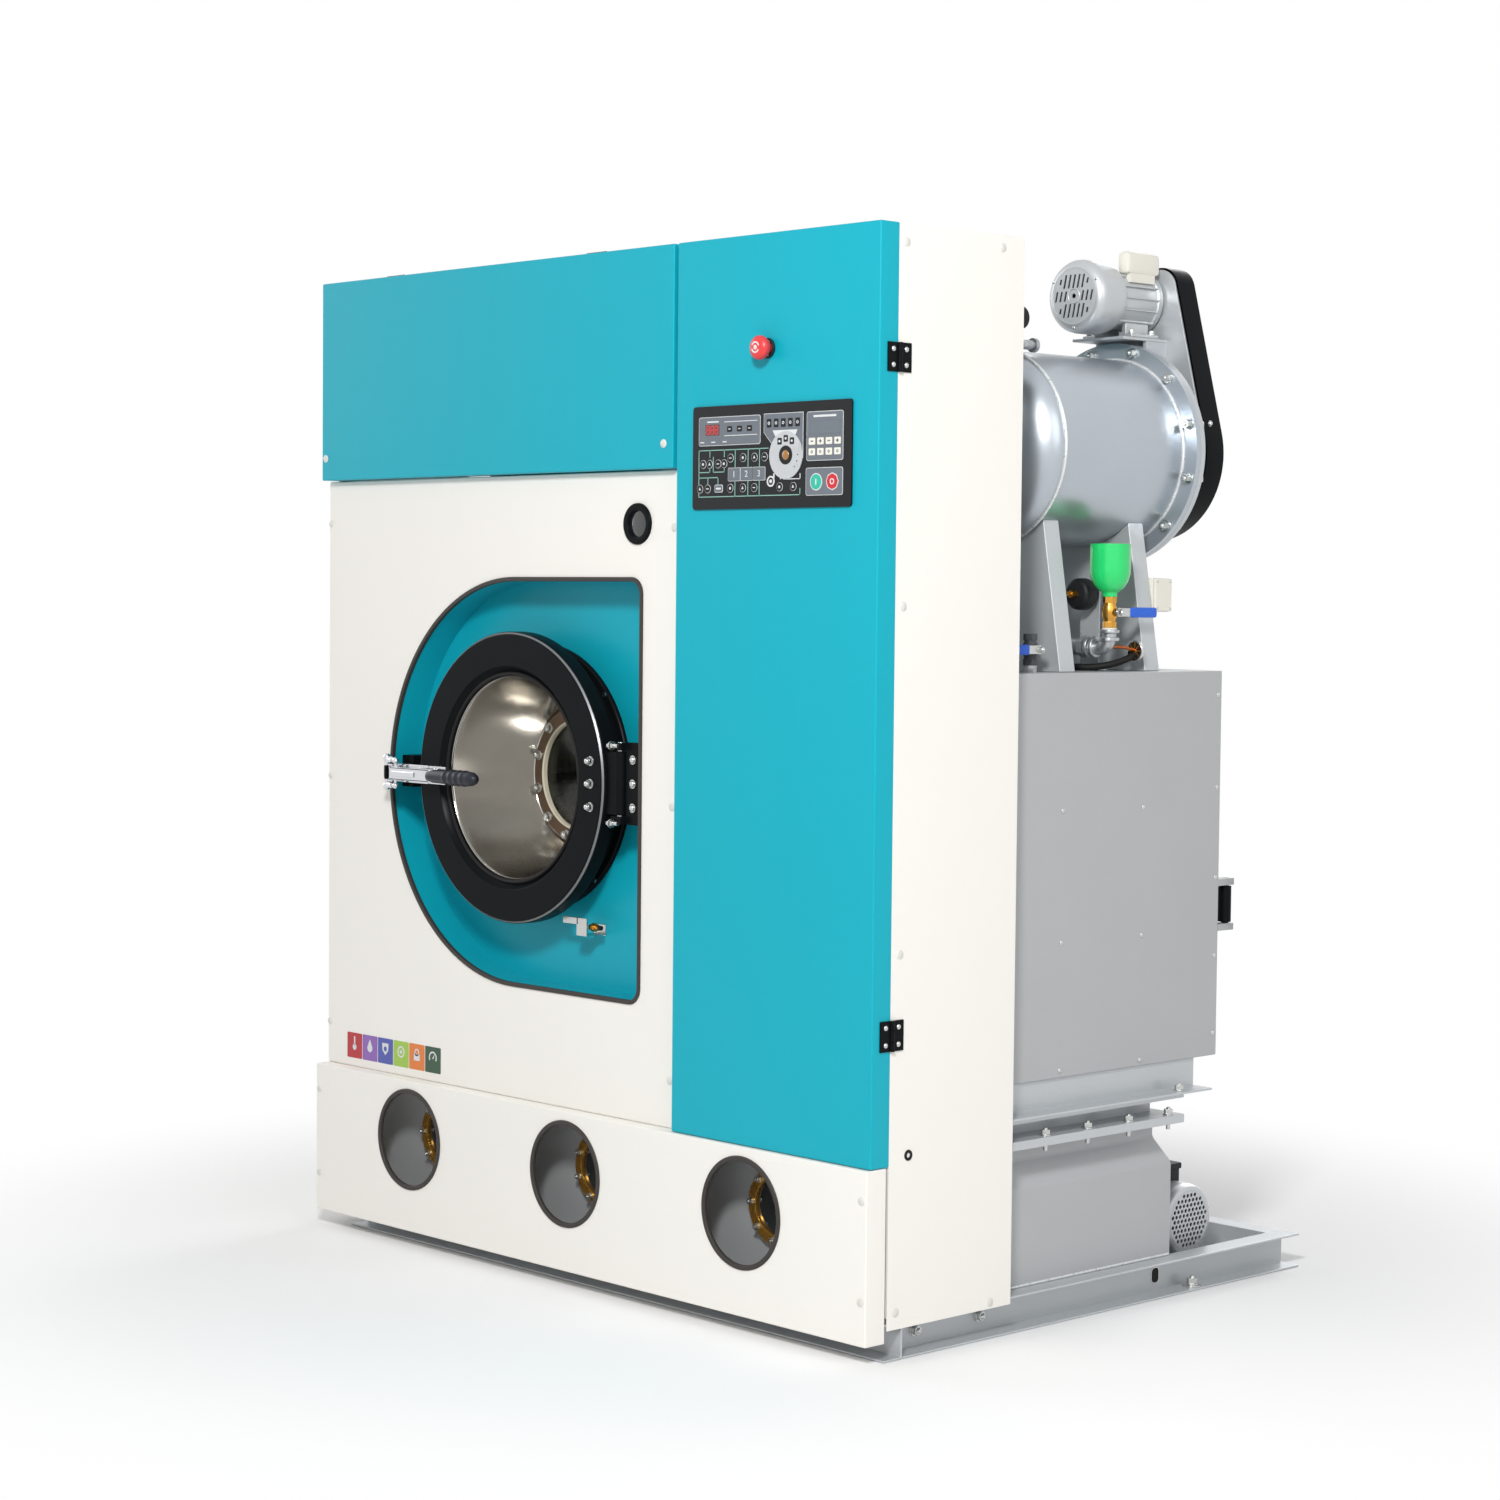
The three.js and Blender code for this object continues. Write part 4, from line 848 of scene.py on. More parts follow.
@dataclass
class Cabinet:
    """The folded panels of the front, with their trims and caps."""

    side: float = 755.0
    face: float = 20.0  # face of the white front panel
    recess: Spot = (-182.0, 895.0)
    recess_radius: float = 368.0
    recess_right: float = 166.0
    recess_corner: float = 25.0
    recess_back: float = 88.0
    porthole_radius: float = 91.0
    window: Spot = (156.0, 1360.0)
    window_radius: float = 30.0

    def outline(self, grow: float) -> list[Spot]:
        """Returns the outline of the D-shaped recess, grown outwards."""
        x, z = self.recess
        corner = self.recess_corner
        inset = self.recess_right - corner
        rise = self.recess_radius - corner
        return [
            *arc((inset, z - rise), corner + grow, -0.25, 0.0, 8),
            *arc((inset, z + rise), corner + grow, 0.0, 0.25, 8),
            *arc((x, z), self.recess_radius + grow, 0.25, 0.75, 72),
        ]

    def panel(
        self, node: str, x: Span, z: Span, y: Span, look: Finish, holes: Holes = (), body: str = "frame"
    ) -> None:
        """Folds one cabinet panel.

        Args:
            node: the CAD node that it stands for.
            x: its left and right edge.
            z: its bottom and top edge.
            y: its face, and where its folds end.
            look: its powder coat.
            holes: the outlines cut out of its face.
            body: the body that it moves with.
        """
        outline = [(x[0], z[0]), (x[1], z[0]), (x[1], z[1]), (x[0], z[1])]
        Shape().tray(Y, outline, y[0], y[1], holes).into(node + "_folded", look, body, [node], wall=2)

    def build(self) -> None:
        """Makes the panels, their trims, glass, caps and stickers."""
        ports = [circle((x, PORT_Z), self.porthole_radius, 80) for x in PORTS]
        self.panel("plinth_panel", (-self.side, self.side), (32, 318), (-8, 36), WHITE, ports)
        window = circle(self.window, self.window_radius, 48)
        holes = [self.outline(0), window]
        self.panel("front_panel", (-self.side, 264), (318.3, 1451), (self.face, 41.7), WHITE, holes)
        rebuilt(["left_side_panel", "right_side_panel", "top_panel"], WHITE, 1.6)
        self.build_recess()
        self.build_trims()
        self.build_window()
        self.build_caps()
        self.build_stickers()

    def build_recess(self) -> None:
        """Makes the pan that the loading door sits in: a wall along the outline, and a back."""
        mouth = circle(DOOR_AXIS, 227, 96)
        pan = Shape().tray(Y, self.outline(1), self.recess_back, self.face + 2.5, [mouth], fold=3)
        made = pan.into("recess_pan_pressed", TEAL, "frame", ["recess_pan"], wall=2)
        made.modifiers["sheet"].offset = 1.0
        for polygon in made.data.polygons:
            polygon.flip()

    def build_trims(self) -> None:
        """Makes the rubber edge trims of the recess and the portholes."""
        band = Shape().prism(Y, self.outline(5), self.face - 3, self.face + 5, [self.outline(-3)])
        band.into("recess_edge_trim", TRIM, edge=1.6)
        for index, x in enumerate(PORTS):
            profile = rounded((self.porthole_radius - 4, self.porthole_radius + 5), (-11.0, -3.0), 2.5)
            rim = Shape().turn(Y, profile, (x, PORT_Z), True)
            rim.into(f"porthole_trim_{index + 1}", TRIM)

    def build_window(self) -> None:
        """Makes the small sight glass of the front panel, in its black rim."""
        radius, face = self.window_radius, self.face
        pane = [(radius - 1, face + 22), (radius - 1, face + 3), (radius - 6, face), (0, face)]
        glass = Shape().turn(Y, pane, self.window, steps=64)
        glass.into("front_sight_glass_pane", SHADE_GLASS, "frame", ["front_sight_glass"])
        rim = rounded((radius - 7, radius + 6), (face - 5, face + 3), 3)
        Shape().turn(Y, rim, self.window, True, 64).into("front_sight_glass_rim", ENAMEL)

    def build_caps(self) -> None:
        """Makes the plastic caps over the panel screws."""
        spots = ((250, 1353), (250, 874), (250, 401), (-748, 1370), (-748, 881), (-748, 399))
        front = Shape().domes(Y, spots, self.face, -1, 7, 3)
        front.domes(Y, grid((-744, 744), (269, 105)), -8, -1, 7, 3).into("front_screw_caps", CAP)
        spots = ((59, 1802), (286, 1812), (60, 1222), (62, 662), (61, 80), (288, 63))
        for name, side in (("right", 1), ("left", -1)):
            caps = Shape().domes(X, spots, side * self.side, side, 7.5, 2.5)
            caps.into(f"{name}_screw_caps", CAP)
        grommet = rounded((4, 9), about(self.side, 2), 1.5)
        Shape().turn(X, grommet, (87, 334), True, 24).into("cable_hole_grommet", RUBBER)

    def build_stickers(self) -> None:
        """Makes the row of six plain stickers above the plinth, each with its symbol."""
        left, width, low, high = -692.0, 49.7, 335.0, 384.0
        face = self.face - 0.4
        middle: Spot = (0.0, 0.0)
        drop = [*arc((0, -4), 8, 0.45, 1.05, 20), (0, 13)]
        shield = [(-9, -3), (0, -12), (9, -3), (10, 11), (-10, 11)]
        dial = [*arc(middle, 12, -0.08, 0.58, 30), *arc(middle, 9, 0.58, -0.08, 30)]
        symbols = (  # of each: its outlines, each before the holes in it
            [[circle((0, -7), 6, 24)], [rounded((-2, 2), (-4, 14), 1.9)]],
            [[drop]],
            [[shield, circle(middle, 5, 24)]],
            [[circle(middle, 11, 36), circle(middle, 8, 36)], [circle(middle, 3.5, 20)]],
            [[rounded((-9, 9), (-11, 2), 2)], [circle((0, 4.5), 7, 28), circle((0, 4.5), 4.5, 28)]],
            [[dial], [[(-2, -2), (2, -2), (6, 8)]]],
        )
        marks = Shape()
        for index, (look, symbol) in enumerate(zip(STICKERS, symbols)):
            x = left + index * width
            tile = Shape().prism(Y, rounded((x + 1, x + width - 1), (low, high), 2), face, self.face)
            tile.into(f"symbol_sticker_{index + 1}", look)
            place = (x + width / 2, (low + high) / 2 + 4)
            for outline, *holes in symbol:
                cut = [moved(hole, place) for hole in holes]
                marks.prism(Y, moved(outline, place), face - 0.3, face, cut)
        marks.into("symbol_sticker_marks", PALE_INK)


@dataclass
class FlipCover:
    """The teal cover over the filter compartment, which lifts on two hinges at its back."""

    across: Span = (-753.0, 266.0)
    up: Span = (1453.0, 1832.0)
    hinges: tuple[Span, ...] = ((-601.0, -550.0), (-13.0, 38.0))

    def build(self, cabinet: Cabinet) -> None:
        """Makes the cover, its caps and its hinges."""
        cabinet.panel("flip_cover", self.across, self.up, (0, 42), TEAL, body="flip_cover")
        caps = Shape().domes(Y, ((-740, 1495), (243, 1495)), 0, -1, 7.5, 3)
        caps.into("flip_cover_caps", CAP, "flip_cover")
        moving, fixed = Shape(), Shape()
        top = self.up[1]
        for x in self.hinges:
            moving.box(x, (16, 43), (top, top + 2.4), 0.8)
            moving.rod(X, 4, *x, (44, top + 4), 20)
            fixed.box(x, (45, 72), (top, top + 2.4), 0.8)
        moving.into("flip_cover_hinge_leaves", ENAMEL, "flip_cover")
        fixed.into("flip_cover_fixed_leaves", ENAMEL)


@dataclass
class ControlColumn:
    """The control door with its panel and emergency stop, and the switchgear behind it."""

    across: Span = (276.0, 755.0)
    up: Span = (319.0, 1832.0)
    panel: Spot = (510.0, 1467.0)
    width: float = 377.0
    height: float = 172.0
    stop: Spot = (500.0, 1643.0)
    hinges: tuple[Span, ...] = ((1595.0, 1642.0), (507.0, 557.0))

    def build(self, cabinet: Cabinet) -> None:
        """Makes the door and everything on and behind it."""
        x, z = self.panel
        holes = [rounded(about(x, 172), about(z, 72), 3), circle(self.stop, 12, 24)]
        cabinet.panel("control_door", self.across, self.up, (0, 42), TEAL, holes, "control_door")
        self.build_hinges()
        self.build_stop()
        self.build_panel()
        self.build_switchgear()

    def build_hinges(self) -> None:
        """Makes the two black hinges on the right: a leaf on the door and one on the side panel."""
        moving, fixed, screws, fixed_screws = Shape(), Shape(), Shape(), Shape()
        side = self.across[1]
        face = side + 2.5  # of the leaves
        pin = (side + 3, 43.5)
        for low, high in self.hinges:
            moving.box((side, face), (17, 42.5), (low, high), 0.8)
            fixed.box((side, face), (44.5, 71), (low, high), 0.8)
            knuckle = (high - low) * 0.3
            moving.rod(Z, 4.5, low, low + knuckle, pin, 20)
            moving.rod(Z, 4.5, high - knuckle, high, pin, 20)
            fixed.rod(Z, 4.5, *about((low + high) / 2, 9), pin, 20)
            rows = (low + 11, high - 11)
            screws.domes(X, grid((29,), rows), face, 1, 4.6, 3)
            fixed_screws.domes(X, grid((58,), rows), face, 1, 4.6, 3)
        moving.into("control_door_hinge_leaves", ENAMEL, "control_door")
        fixed.into("control_door_fixed_leaves", ENAMEL)
        screws.into("control_door_hinge_screws", ZINC, "control_door")
        fixed_screws.into("control_door_fixed_screws", ZINC)

    def build_stop(self) -> None:
        """Makes the mushroom button, with its turn-to-release arrows, and its collar."""
        head = [(0, -30), (9, -30), (13, -29.2), (17, -27), (19.4, -24), (20, -21), (19.6, -17), (17.5, -13)]
        head += [(13, -11.5), (11, -11.5), (11, 24), (0, 24)]
        button = Shape().turn(Y, head, self.stop, steps=64)
        button.into("estop_mushroom_head", RED, "estop_button", ["estop_button"])
        marks = Shape()
        ring = [*arc(self.stop, 9.5, 0.05, 0.42, 16), *arc(self.stop, 7, 0.42, 0.05, 16)]
        other = [*arc(self.stop, 9.5, 0.55, 0.92, 16), *arc(self.stop, 7, 0.92, 0.55, 16)]
        for outline in (ring, other):
            marks.prism(Y, outline, -30.5, -29.8)
        marks.prism(Y, circle(self.stop, 4, 20), -30.5, -29.8)
        marks.into("estop_turn_arrows", PALE_INK, "estop_button")
        collar = rounded((12.5, 17), (-6, 0), 2)
        Shape().turn(Y, collar, self.stop, True, 64).into("estop_collar", BLACK, "control_door")

    def build_panel(self) -> None:
        """Makes the panel module, then its printed face with displays and keys."""
        x, z = self.panel
        half, rise = self.width / 2, self.height / 2
        module = Shape().prism(Y, rounded(about(x, half), about(z, rise), 6), -4, -0.3)
        module.box((x - half + 18, x + half - 18), (-2, 34), (z - rise + 16, z + rise - 16), 2)
        module.into("control_panel_module", FILM, "control_door", ["control_panel"], edge=0.6)
        PanelFace().build()

    def build_switchgear(self) -> None:
        """Makes the mounting plate behind the door, with rows of contactors on rails."""
        plate = Shape().box((296, 750.7), (240, 242), (430, 1720))
        plate.box((748.7, 752.7), (240, 280), (430, 1720))
        bars, cases, fronts, screws = Shape(), Shape(), Shape(), Shape()
        for row in range(5):
            z = 560 + row * 260
            bars.box((310, 738), (234, 240), about(z, 14), 1)
            for index in range(6 - row % 2):
                at = 332 + index * 64
                cases.box((at, at + 48), (190, 234), about(z, 40), 2)
                fronts.box((at + 6, at + 42), (178, 192), about(z, 24), 2)
                terminals = grid((at + 10, at + 24, at + 38), about(z, 33))
                screws.domes(Y, terminals, 190, -1, 3.6, 2)
        plate.into("switchgear_plate", GALVANISED, "frame", ["electrical_board"], edge=0.8)
        bars.into("switchgear_rails", ZINC)
        cases.into("contactor_cases", BLACK)
        fronts.into("contactor_fronts", CREAM)
        screws.into("contactor_terminals", BRASS)


@dataclass
class PanelFace:
    """The printed face of the control panel, with plain symbols: each ink is one thin raised piece."""

    film: float = -4.0
    ink: float = 0.35
    line: float = 1.5

    def mark(self, shape: Shape, outline: Outline, level: int = 1, holes: Holes = ()) -> None:
        """Prints one outline, a number of ink layers above the film."""
        face = self.film - self.ink * level
        shape.prism(Y, outline, face, self.film + 0.1, holes)

    def bar(self, shape: Shape, middle: Spot, reach: Spot, corner: float, level: int) -> None:
        """Prints a round-cornered bar that reaches a length to each side of its middle, and up and down."""
        x, z = about(middle[0], reach[0]), about(middle[1], reach[1])
        self.mark(shape, rounded(x, z, corner), level)

    def hoop(self, shape: Shape, middle: Spot, radii: Spot, steps: tuple[int, int], level: int) -> None:
        """Prints a hoop, with a radius and a number of steps for its outer and its inner edge."""
        outer, inner = (circle(middle, radius, count) for radius, count in zip(radii, steps))
        self.mark(shape, outer, level, [inner])

    def stroke(self, shape: Shape, points: Outline, level: int = 1) -> None:
        """Prints a line of level and upright stretches."""
        half = self.line / 2
        for (x0, z0), (x1, z1) in zip(points, points[1:]):
            left, right = min(x0, x1) - half, max(x0, x1) + half
            low, high = min(z0, z1) - half, max(z0, z1) + half
            self.mark(shape, [(left, low), (right, low), (right, high), (left, high)], level)

    def field(self, ground: Shape, border: Shape, x: Span, z: Span) -> None:
        """Prints a grey field with a pale border."""
        self.mark(border, rounded(x, z, 4), 1)
        self.mark(ground, rounded((x[0] + 1, x[1] - 1), (z[0] + 1, z[1] - 1), 3.4), 2)

    def build(self) -> None:
        """Prints the whole face."""
        ground, border, pale, flow, dark = Shape(), Shape(), Shape(), Shape(), Shape()
        fields = ((337, 487), (1487, 1535)), ((596, 680), (1456, 1535.5)), ((595, 680), (1400, 1445))
        for x, z in fields:
            self.field(ground, border, x, z)
        hopper = [(495, 1505), (516, 1484), (530, 1466), (575, 1450), (588, 1462), (588, 1536), (495, 1536)]
        self.mark(border, hopper)
        inner = [(496, 1505.4), (517, 1484.6), (531, 1467), (575, 1451.5)]
        inner += [(587, 1462.5), (587, 1535), (496, 1535)]
        self.mark(ground, inner, 2)
        self.thermostat(pale, dark)
        self.selector(pale, dark)
        self.display(pale)
        self.mimic(ground, border, pale, flow)
        for shape, name, look in (
            (ground, "grey_fields", GREY_INK),
            (border, "field_borders", PALE_INK),
            (pale, "pale_marks", PALE_INK),
            (flow, "flow_lines", FLOW_INK),
            (dark, "dark_keys", FILM),
        ):
            shape.into(f"panel_{name}", look, "control_door")

    def thermostat(self, pale: Shape, dark: Shape) -> None:
        """Prints the temperature field: a lit display and three keys between two lines."""
        self.mark(window := Shape(), rounded((354, 388), (1504, 1522.5), 1), 3)
        window.into("temperature_window", LED, "control_door")
        lit = Shape()
        for index in range(3):
            left = 357.5 + index * 10.2
            for z in (1506.6, 1513.2, 1519.8):
                self.bar(lit, (left + 3.5, z), (2.5, 0.5), 0.4, 4)
            for x in (left, left + 7):
                self.bar(lit, (x, 1513.2), (0.5, 6.2), 0.4, 4)
        lit.into("temperature_digits", LED_ON, "control_door")
        self.mark(pale, rounded((358, 386), (1525.5, 1528), 1), 3)
        for z in (1503, 1526):
            self.bar(pale, (440, z), (40, 0.6), 0.5, 3)
        for x in (413, 437, 461):
            self.bar(dark, (x, 1513.75), (6, 4.75), 1.5, 3)
            self.bar(pale, (x, 1513.8), (2.5, 0.8), 0.6, 4)
        for x in (341, 368, 396):
            self.mark(pale, rounded((x, x + 10), (1492, 1494), 0.8), 3)

    def selector(self, pale: Shape, dark: Shape) -> None:
        """Prints the programme disc, with its keys and its amber middle."""
        centre = (548.5, 1467.0)
        for index in range(5):
            x = 508 + index * 16.8
            self.bar(dark, (x, 1520), (5.3, 7), 1.5, 3)
            self.hoop(pale, (x, 1520), (2.6, 1.4), (20, 12), 4)
        self.mark(pale, [(524, 1497), (569, 1497), (575, 1508), (516.5, 1508)], 3)
        disc = Shape()
        self.mark(disc, circle(centre, 39, 72), 4)
        disc.into("programme_disc", DISC_INK, "control_door", edge=0.15)
        for spot in arc(centre, 27, 0.34, 0.16, 2):
            self.bar(dark, spot, (5, 5.5), 1.5, 5)
            self.mark(pale, circle(spot, 2.2, 16), 6)
        self.mark(dark, circle(centre, 15.5, 48), 5)
        for step in (-0.12, -0.06, 0.0):
            self.mark(dark, circle(arc(centre, 28, step, step, 1)[0], 1.1, 12), 5)
        amber = Shape().turn(Y, [(8, -5.8), (7, -7), (4, -7.8), (0, -8)], centre, steps=36)
        amber.into("programme_key", AMBER_INK, "control_door")
        self.hoop(pale, (513, 1425), (9, 6.4), (36, 36), 3)
        self.mark(pale, circle((513, 1425), 3, 20), 3)
        for end in ((520, 1431), (536, 1429)):
            self.stroke(pale, [end, (end[0] + 1, end[1] + 6)], 3)

    def display(self, pale: Shape) -> None:
        """Prints the text display, its eight keys, and the start and stop keys."""
        window = Shape()
        self.mark(window, rounded((602.5, 674), (1499, 1520), 1.5), 3)
        window.into("text_display_window", LCD, "control_door")
        keys = Shape()
        for x in (609, 628.5, 648, 667.5):
            for z in (1487.5, 1470.5):
                self.bar(keys, (x, z), (7.4, 5.6), 1.6, 3)
        keys.into("text_display_keys", CREAM, "control_door", edge=0.2)
        self.mark(pale, rounded((612, 664), (1526, 1529.5), 1), 3)
        marks = Shape()
        for index, x in enumerate((609, 628.5, 648, 667.5)):
            self.bar(marks, (x, 1487.5), (3, 1), 0.6, 4)
            if index % 2:
                self.bar(marks, (x, 1487.5), (1, 3), 0.6, 4)
            self.hoop(marks, (x, 1470.5), (2.4, 1.2), (16, 12), 4)
        marks.into("text_display_key_marks", GREY_INK, "control_door")
        start, stop = (619.5, 1422.0), (656.5, 1422.0)
        self.mark(pale, circle(start, 14, 48), 3)
        self.mark(pale, circle(stop, 14.5, 8), 3)
        for name, outline, look in (
            ("start_key", circle(start, 12.4, 48), START_INK),
            ("stop_key", circle(stop, 12.8, 8), STOP_INK),
        ):
            self.mark(key := Shape(), outline, 4)
            key.into(name, look, "control_door", edge=0.2)
        self.bar(pale, start, (1.1, 5), 0.8, 5)
        self.hoop(pale, stop, (5, 3.1), (28, 24), 5)

    def mimic(self, ground: Shape, border: Shape, pale: Shape, flow: Shape) -> None:
        """Prints the flow diagram: three numbered tanks, the lines between them, and their keys."""
        tank_left, tank_width = 409.5, 30.0
        for index in range(3):
            left = tank_left + index * tank_width
            self.mark(border, rounded((left, left + tank_width), (1427, 1449.5), 2))
            self.mark(ground, rounded((left + 0.8, left + tank_width - 0.8), (1427.8, 1448.7), 1.6), 2)
            numeral(pale, str(index + 1), (left + tank_width / 2, 1438.2), 15, self.film - 3 * self.ink)
        top, bottom, left, right = 1479.5, 1402.0, 337.5, 581.5
        for x in (426.6, 457.9, 485.2):
            self.stroke(flow, [(x, top), (x, 1449.5)])
            self.stroke(flow, [(x, 1427), (x, bottom)])
        for line in (
            [(right, 1412), (right, bottom), (left, bottom), (left, top), (506, top)],
            [(364.5, top), (364.5, 1468)],
            [(400, top), (400, 1468)],
            [(left, 1443), (364.5, 1443), (364.5, 1449)],
            [(373, 1468), (373, 1443), (400, 1443), (400, 1449)],
            [(left, 1434), (385, 1434), (385, 1423)],
            [(360, 1434), (360, 1423)],
        ):
            self.stroke(flow, line)
        self.stroke(pale, [(543, 1428), (581.5, 1428), (581.5, 1436)])
        spots = [(x, 1465.5) for x in (415.7, 446, 473.5, 497.5)]
        spots += [(x, 1456.6) for x in (348.5, 364.5, 385.4, 400)]
        spots += [(x, 1415.5) for x in (341, 360, 415.7, 446, 473.5, 534, 566)]
        for index, spot in enumerate(spots):
            self.mark(border, circle(spot, 7.2, 32), 2)
            self.mark(disc := Shape(), circle(spot, 6.6, 32), 3)
            disc.into(f"flow_key_{index + 1}", FILM, "control_door")
            if index % 3 == 0:
                self.bar(pale, spot, (3, 0.8), 0.6, 4)
            elif index % 3 == 1:
                self.mark(pale, circle(spot, 2.4, 16), 4)
            else:
                self.mark(pale, moved([(-2.6, -2), (2.6, -2), (0, 3)], spot), 4)
        self.mark(border, rounded((377, 397), (1409, 1422), 3), 2)
        self.mark(ground, rounded((378, 396), (1410, 1421), 2.4), 3)
        self.mark(pale, rounded((381, 393), (1414, 1417), 1), 4)


def numeral(shape: Shape, text: str, middle: Spot, height: float, face: float) -> None:
    """Prints a plain figure on a face that looks forwards.

    Args:
        shape: the shape that it is added to.
        text: the figure.
        middle: the x and z of its middle.
        height: its height.
        face: the y of its front.
    """
    letters = bpy.data.curves.new("figure", "FONT")
    letters.body = text
    letters.size = height
    letters.extrude = 0.3
    letters.align_x = "CENTER"
    letters.align_y = "CENTER"
    held = drawn_mesh(letters)
    place = Matrix.Translation((middle[0], face + 0.2, middle[1]))
    held.transform(place @ Matrix.Rotation(TURN / 4, 4, "X"))
    shape.hold(held)


@dataclass
class LoadingDoor:
    """The round door: a black ring with its hinge arm, a spun dish and a bolted sight glass."""

    outer: float = 265.0
    hinge: Spot = (112.0, 22.0)
    arm: Span = (852.0, 964.0)

    def build(self) -> None:
        """Makes the door, the ring that it closes on, and the switch below."""
        self.build_ring()
        self.build_dish()
        self.build_seat()
        self.build_hinge()
        self.build_switch()

    def build_ring(self) -> None:
        """Makes the ring with its inner step, its seal and its acorn nuts."""
        outer = self.outer
        profile = [(184, 12), (191, 12), (197, 9), (203, 0), (outer - 6, 0), (outer, 6), (outer, 34)]
        profile += [(207, 34), (205, 31), (205, 13.7), (184, 13.7)]
        ring = Shape().turn(Y, profile, DOOR_AXIS, True, 128)
        x, y = self.hinge
        ring.box((x - 34, x), about(y, 11), self.arm, 2)
        ring.rod(Z, 11, *self.arm, self.hinge, 32)
        ring.into("door_ring_turned", ENAMEL, "loading_door", ["door_ring"], edge=0.9)
        # A thin steel ring laid on the chamfer paints the highlight that the black enamel shows there.
        chamfer = [(outer - 5, 2.2), (outer - 4.2, 1.4), (outer - 1.4, 4.2), (outer - 2.2, 5)]
        edge = Shape().turn(Y, chamfer, DOOR_AXIS, True, 128)
        edge.into("door_ring_chamfer_highlight", CHAMFER_HIGHLIGHT, "loading_door")
        pin = Shape().rod(Z, 6, self.arm[0] - 16, self.arm[1] + 16, self.hinge, 28)
        pin.into("door_hinge_pin", ZINC, "loading_door", edge=1)
        Shape().ring(Y, 189, 3.4, DOOR_AXIS, 9.5).into("door_dish_bead", RUBBER, "loading_door")
        nuts = Shape()
        for z in (864, 905, 945):
            nuts.rod(Y, 8.5, -1.6, 0, (57, z), 24)
            nuts.rod(Y, 6.8, -8, -1.6, (57, z), 6)
            nuts.dome(Y, (57, z), -8, -1, 5.4, 5)
        nuts.into("door_acorn_nuts", ZINC, "loading_door", edge=0.4)
        screws = Shape()
        for z in (self.arm[1] + 10, self.arm[0] - 14):
            screws.rod(X, 4, 96, 124, (6, z), 20)
            screws.bolt(X, (6, z), 103, -1, 11, False)
            screws.rod(X, 8.5, 105, 107, (6, z), 24).rod(X, 7, 108, 114, (6, z), 6)
        screws.into("door_adjusting_screws", ZINC, edge=0.4)

    def build_dish(self) -> None:
        """Makes the polished dish, the clamping ring with its nuts, the seal and the glass."""
        steps = 14
        lip = [(204.5, 14), (187, 14), (184.5, 15.5)]
        wall = []
        for step in range(steps + 1):
            part = step / steps
            wall.append((183 - 50 * part + 20 * part * (1 - part), 19 + 149 * part))
        back = [(131, 171), (127, 174), (103, 174)]
        dish = Shape().turn(Y, [*lip, *wall, *back], DOOR_AXIS, steps=128)
        made = dish.into("door_dish_spun", STAINLESS, "loading_door", ["door_dish"], wall=1.6)
        made.modifiers["sheet"].offset = 0.0
        ring = rounded((103, 127), (166.7, 173.7), 1.5)
        turned = Shape().turn(Y, ring, DOOR_AXIS, True)
        turned.into("door_glass_clamp_ring", BRONZE, "loading_door", ["door_glass_ring"])
        nuts = Shape().bolts(Y, circle_row(DOOR_AXIS, 117, 12, 0.04), 166.7, -1, 15)
        nuts.into("door_glass_nuts", ZINC, "loading_door", edge=0.4)
        seal = rounded((99.5, 103.8), (165, 176), 1.4)
        Shape().turn(Y, seal, DOOR_AXIS, True).into("door_glass_seal", SILICONE, "loading_door")
        pane = [(0, 176.3), (123, 176.3), (125, 178), (125, 184), (123, 186), (0, 186)]
        glass = Shape().turn(Y, pane, DOOR_AXIS)
        glass.into("door_glass_pane", CLEAR, "loading_door", ["door_sight_glass"])

    def build_seat(self) -> None:
        """Makes the ring on the tub's mouth, with its seal and screws."""
        profile = [(215, 38), (227, 38), (229, 40), (229, 77), (240, 77), (243, 80), (243, 87.7)]
        profile += [(225, 87.7), (225, 132), (215, 132)]
        ring = Shape().turn(Y, profile, DOOR_AXIS, True, 128)
        ring.into("door_frame_ring_turned", ENAMEL, "frame", ["door_frame_ring"], edge=0.9)
        Shape().ring(Y, 222, 2.4, DOOR_AXIS, 36.8).into("door_seal", RUBBER)
        screws = Shape()
        for spot in circle_row(DOOR_AXIS, 236, 8, 0.1133):
            screws.rod(Y, 5, 74.4, 77, spot, 20)
        screws.into("door_frame_screws", ZINC, edge=0.8)

    def build_hinge(self) -> None:
        """Makes the fixed bracket and its screws."""
        rebuilt(["door_hinge_bracket"], ENAMEL, 1.2)
        screws = Shape()
        for z in (866, 908, 950):
            screws.rod(Y, 8, 20.4, 22, (145, z), 24)
            screws.dome(Y, (145, z), 20.4, -1, 6, 4.5)
        screws.into("hinge_bracket_screws", ZINC)

    def build_switch(self) -> None:
        """Makes the door switch: a sensor held in a folded bracket below the ring."""
        plate = Shape().box((-30, 2), (84.5, 86.5), (626, 646), 0.6).box((-24, 4), (40, 86), (628, 630), 0.6)
        plate.box((-24, 4), (38, 41), (628, 660), 0.6).box((-62, -20), (38, 41), (648, 660), 0.6)
        plate.into("door_switch_bracket", ZINC)
        sensor = Shape().rod(X, 5, -2, 22, (52, 644), 28).rod(X, 8, 4.5, 8, (52, 644), 6)
        sensor.rod(X, 8, 11, 14.5, (52, 644), 6)
        sensor.into("door_switch_sensor", BRASS, edge=0.5)
        Shape().rod(X, 4.4, 22, 29, (52, 644), 24).into("door_switch_cap", BLACK, edge=1)


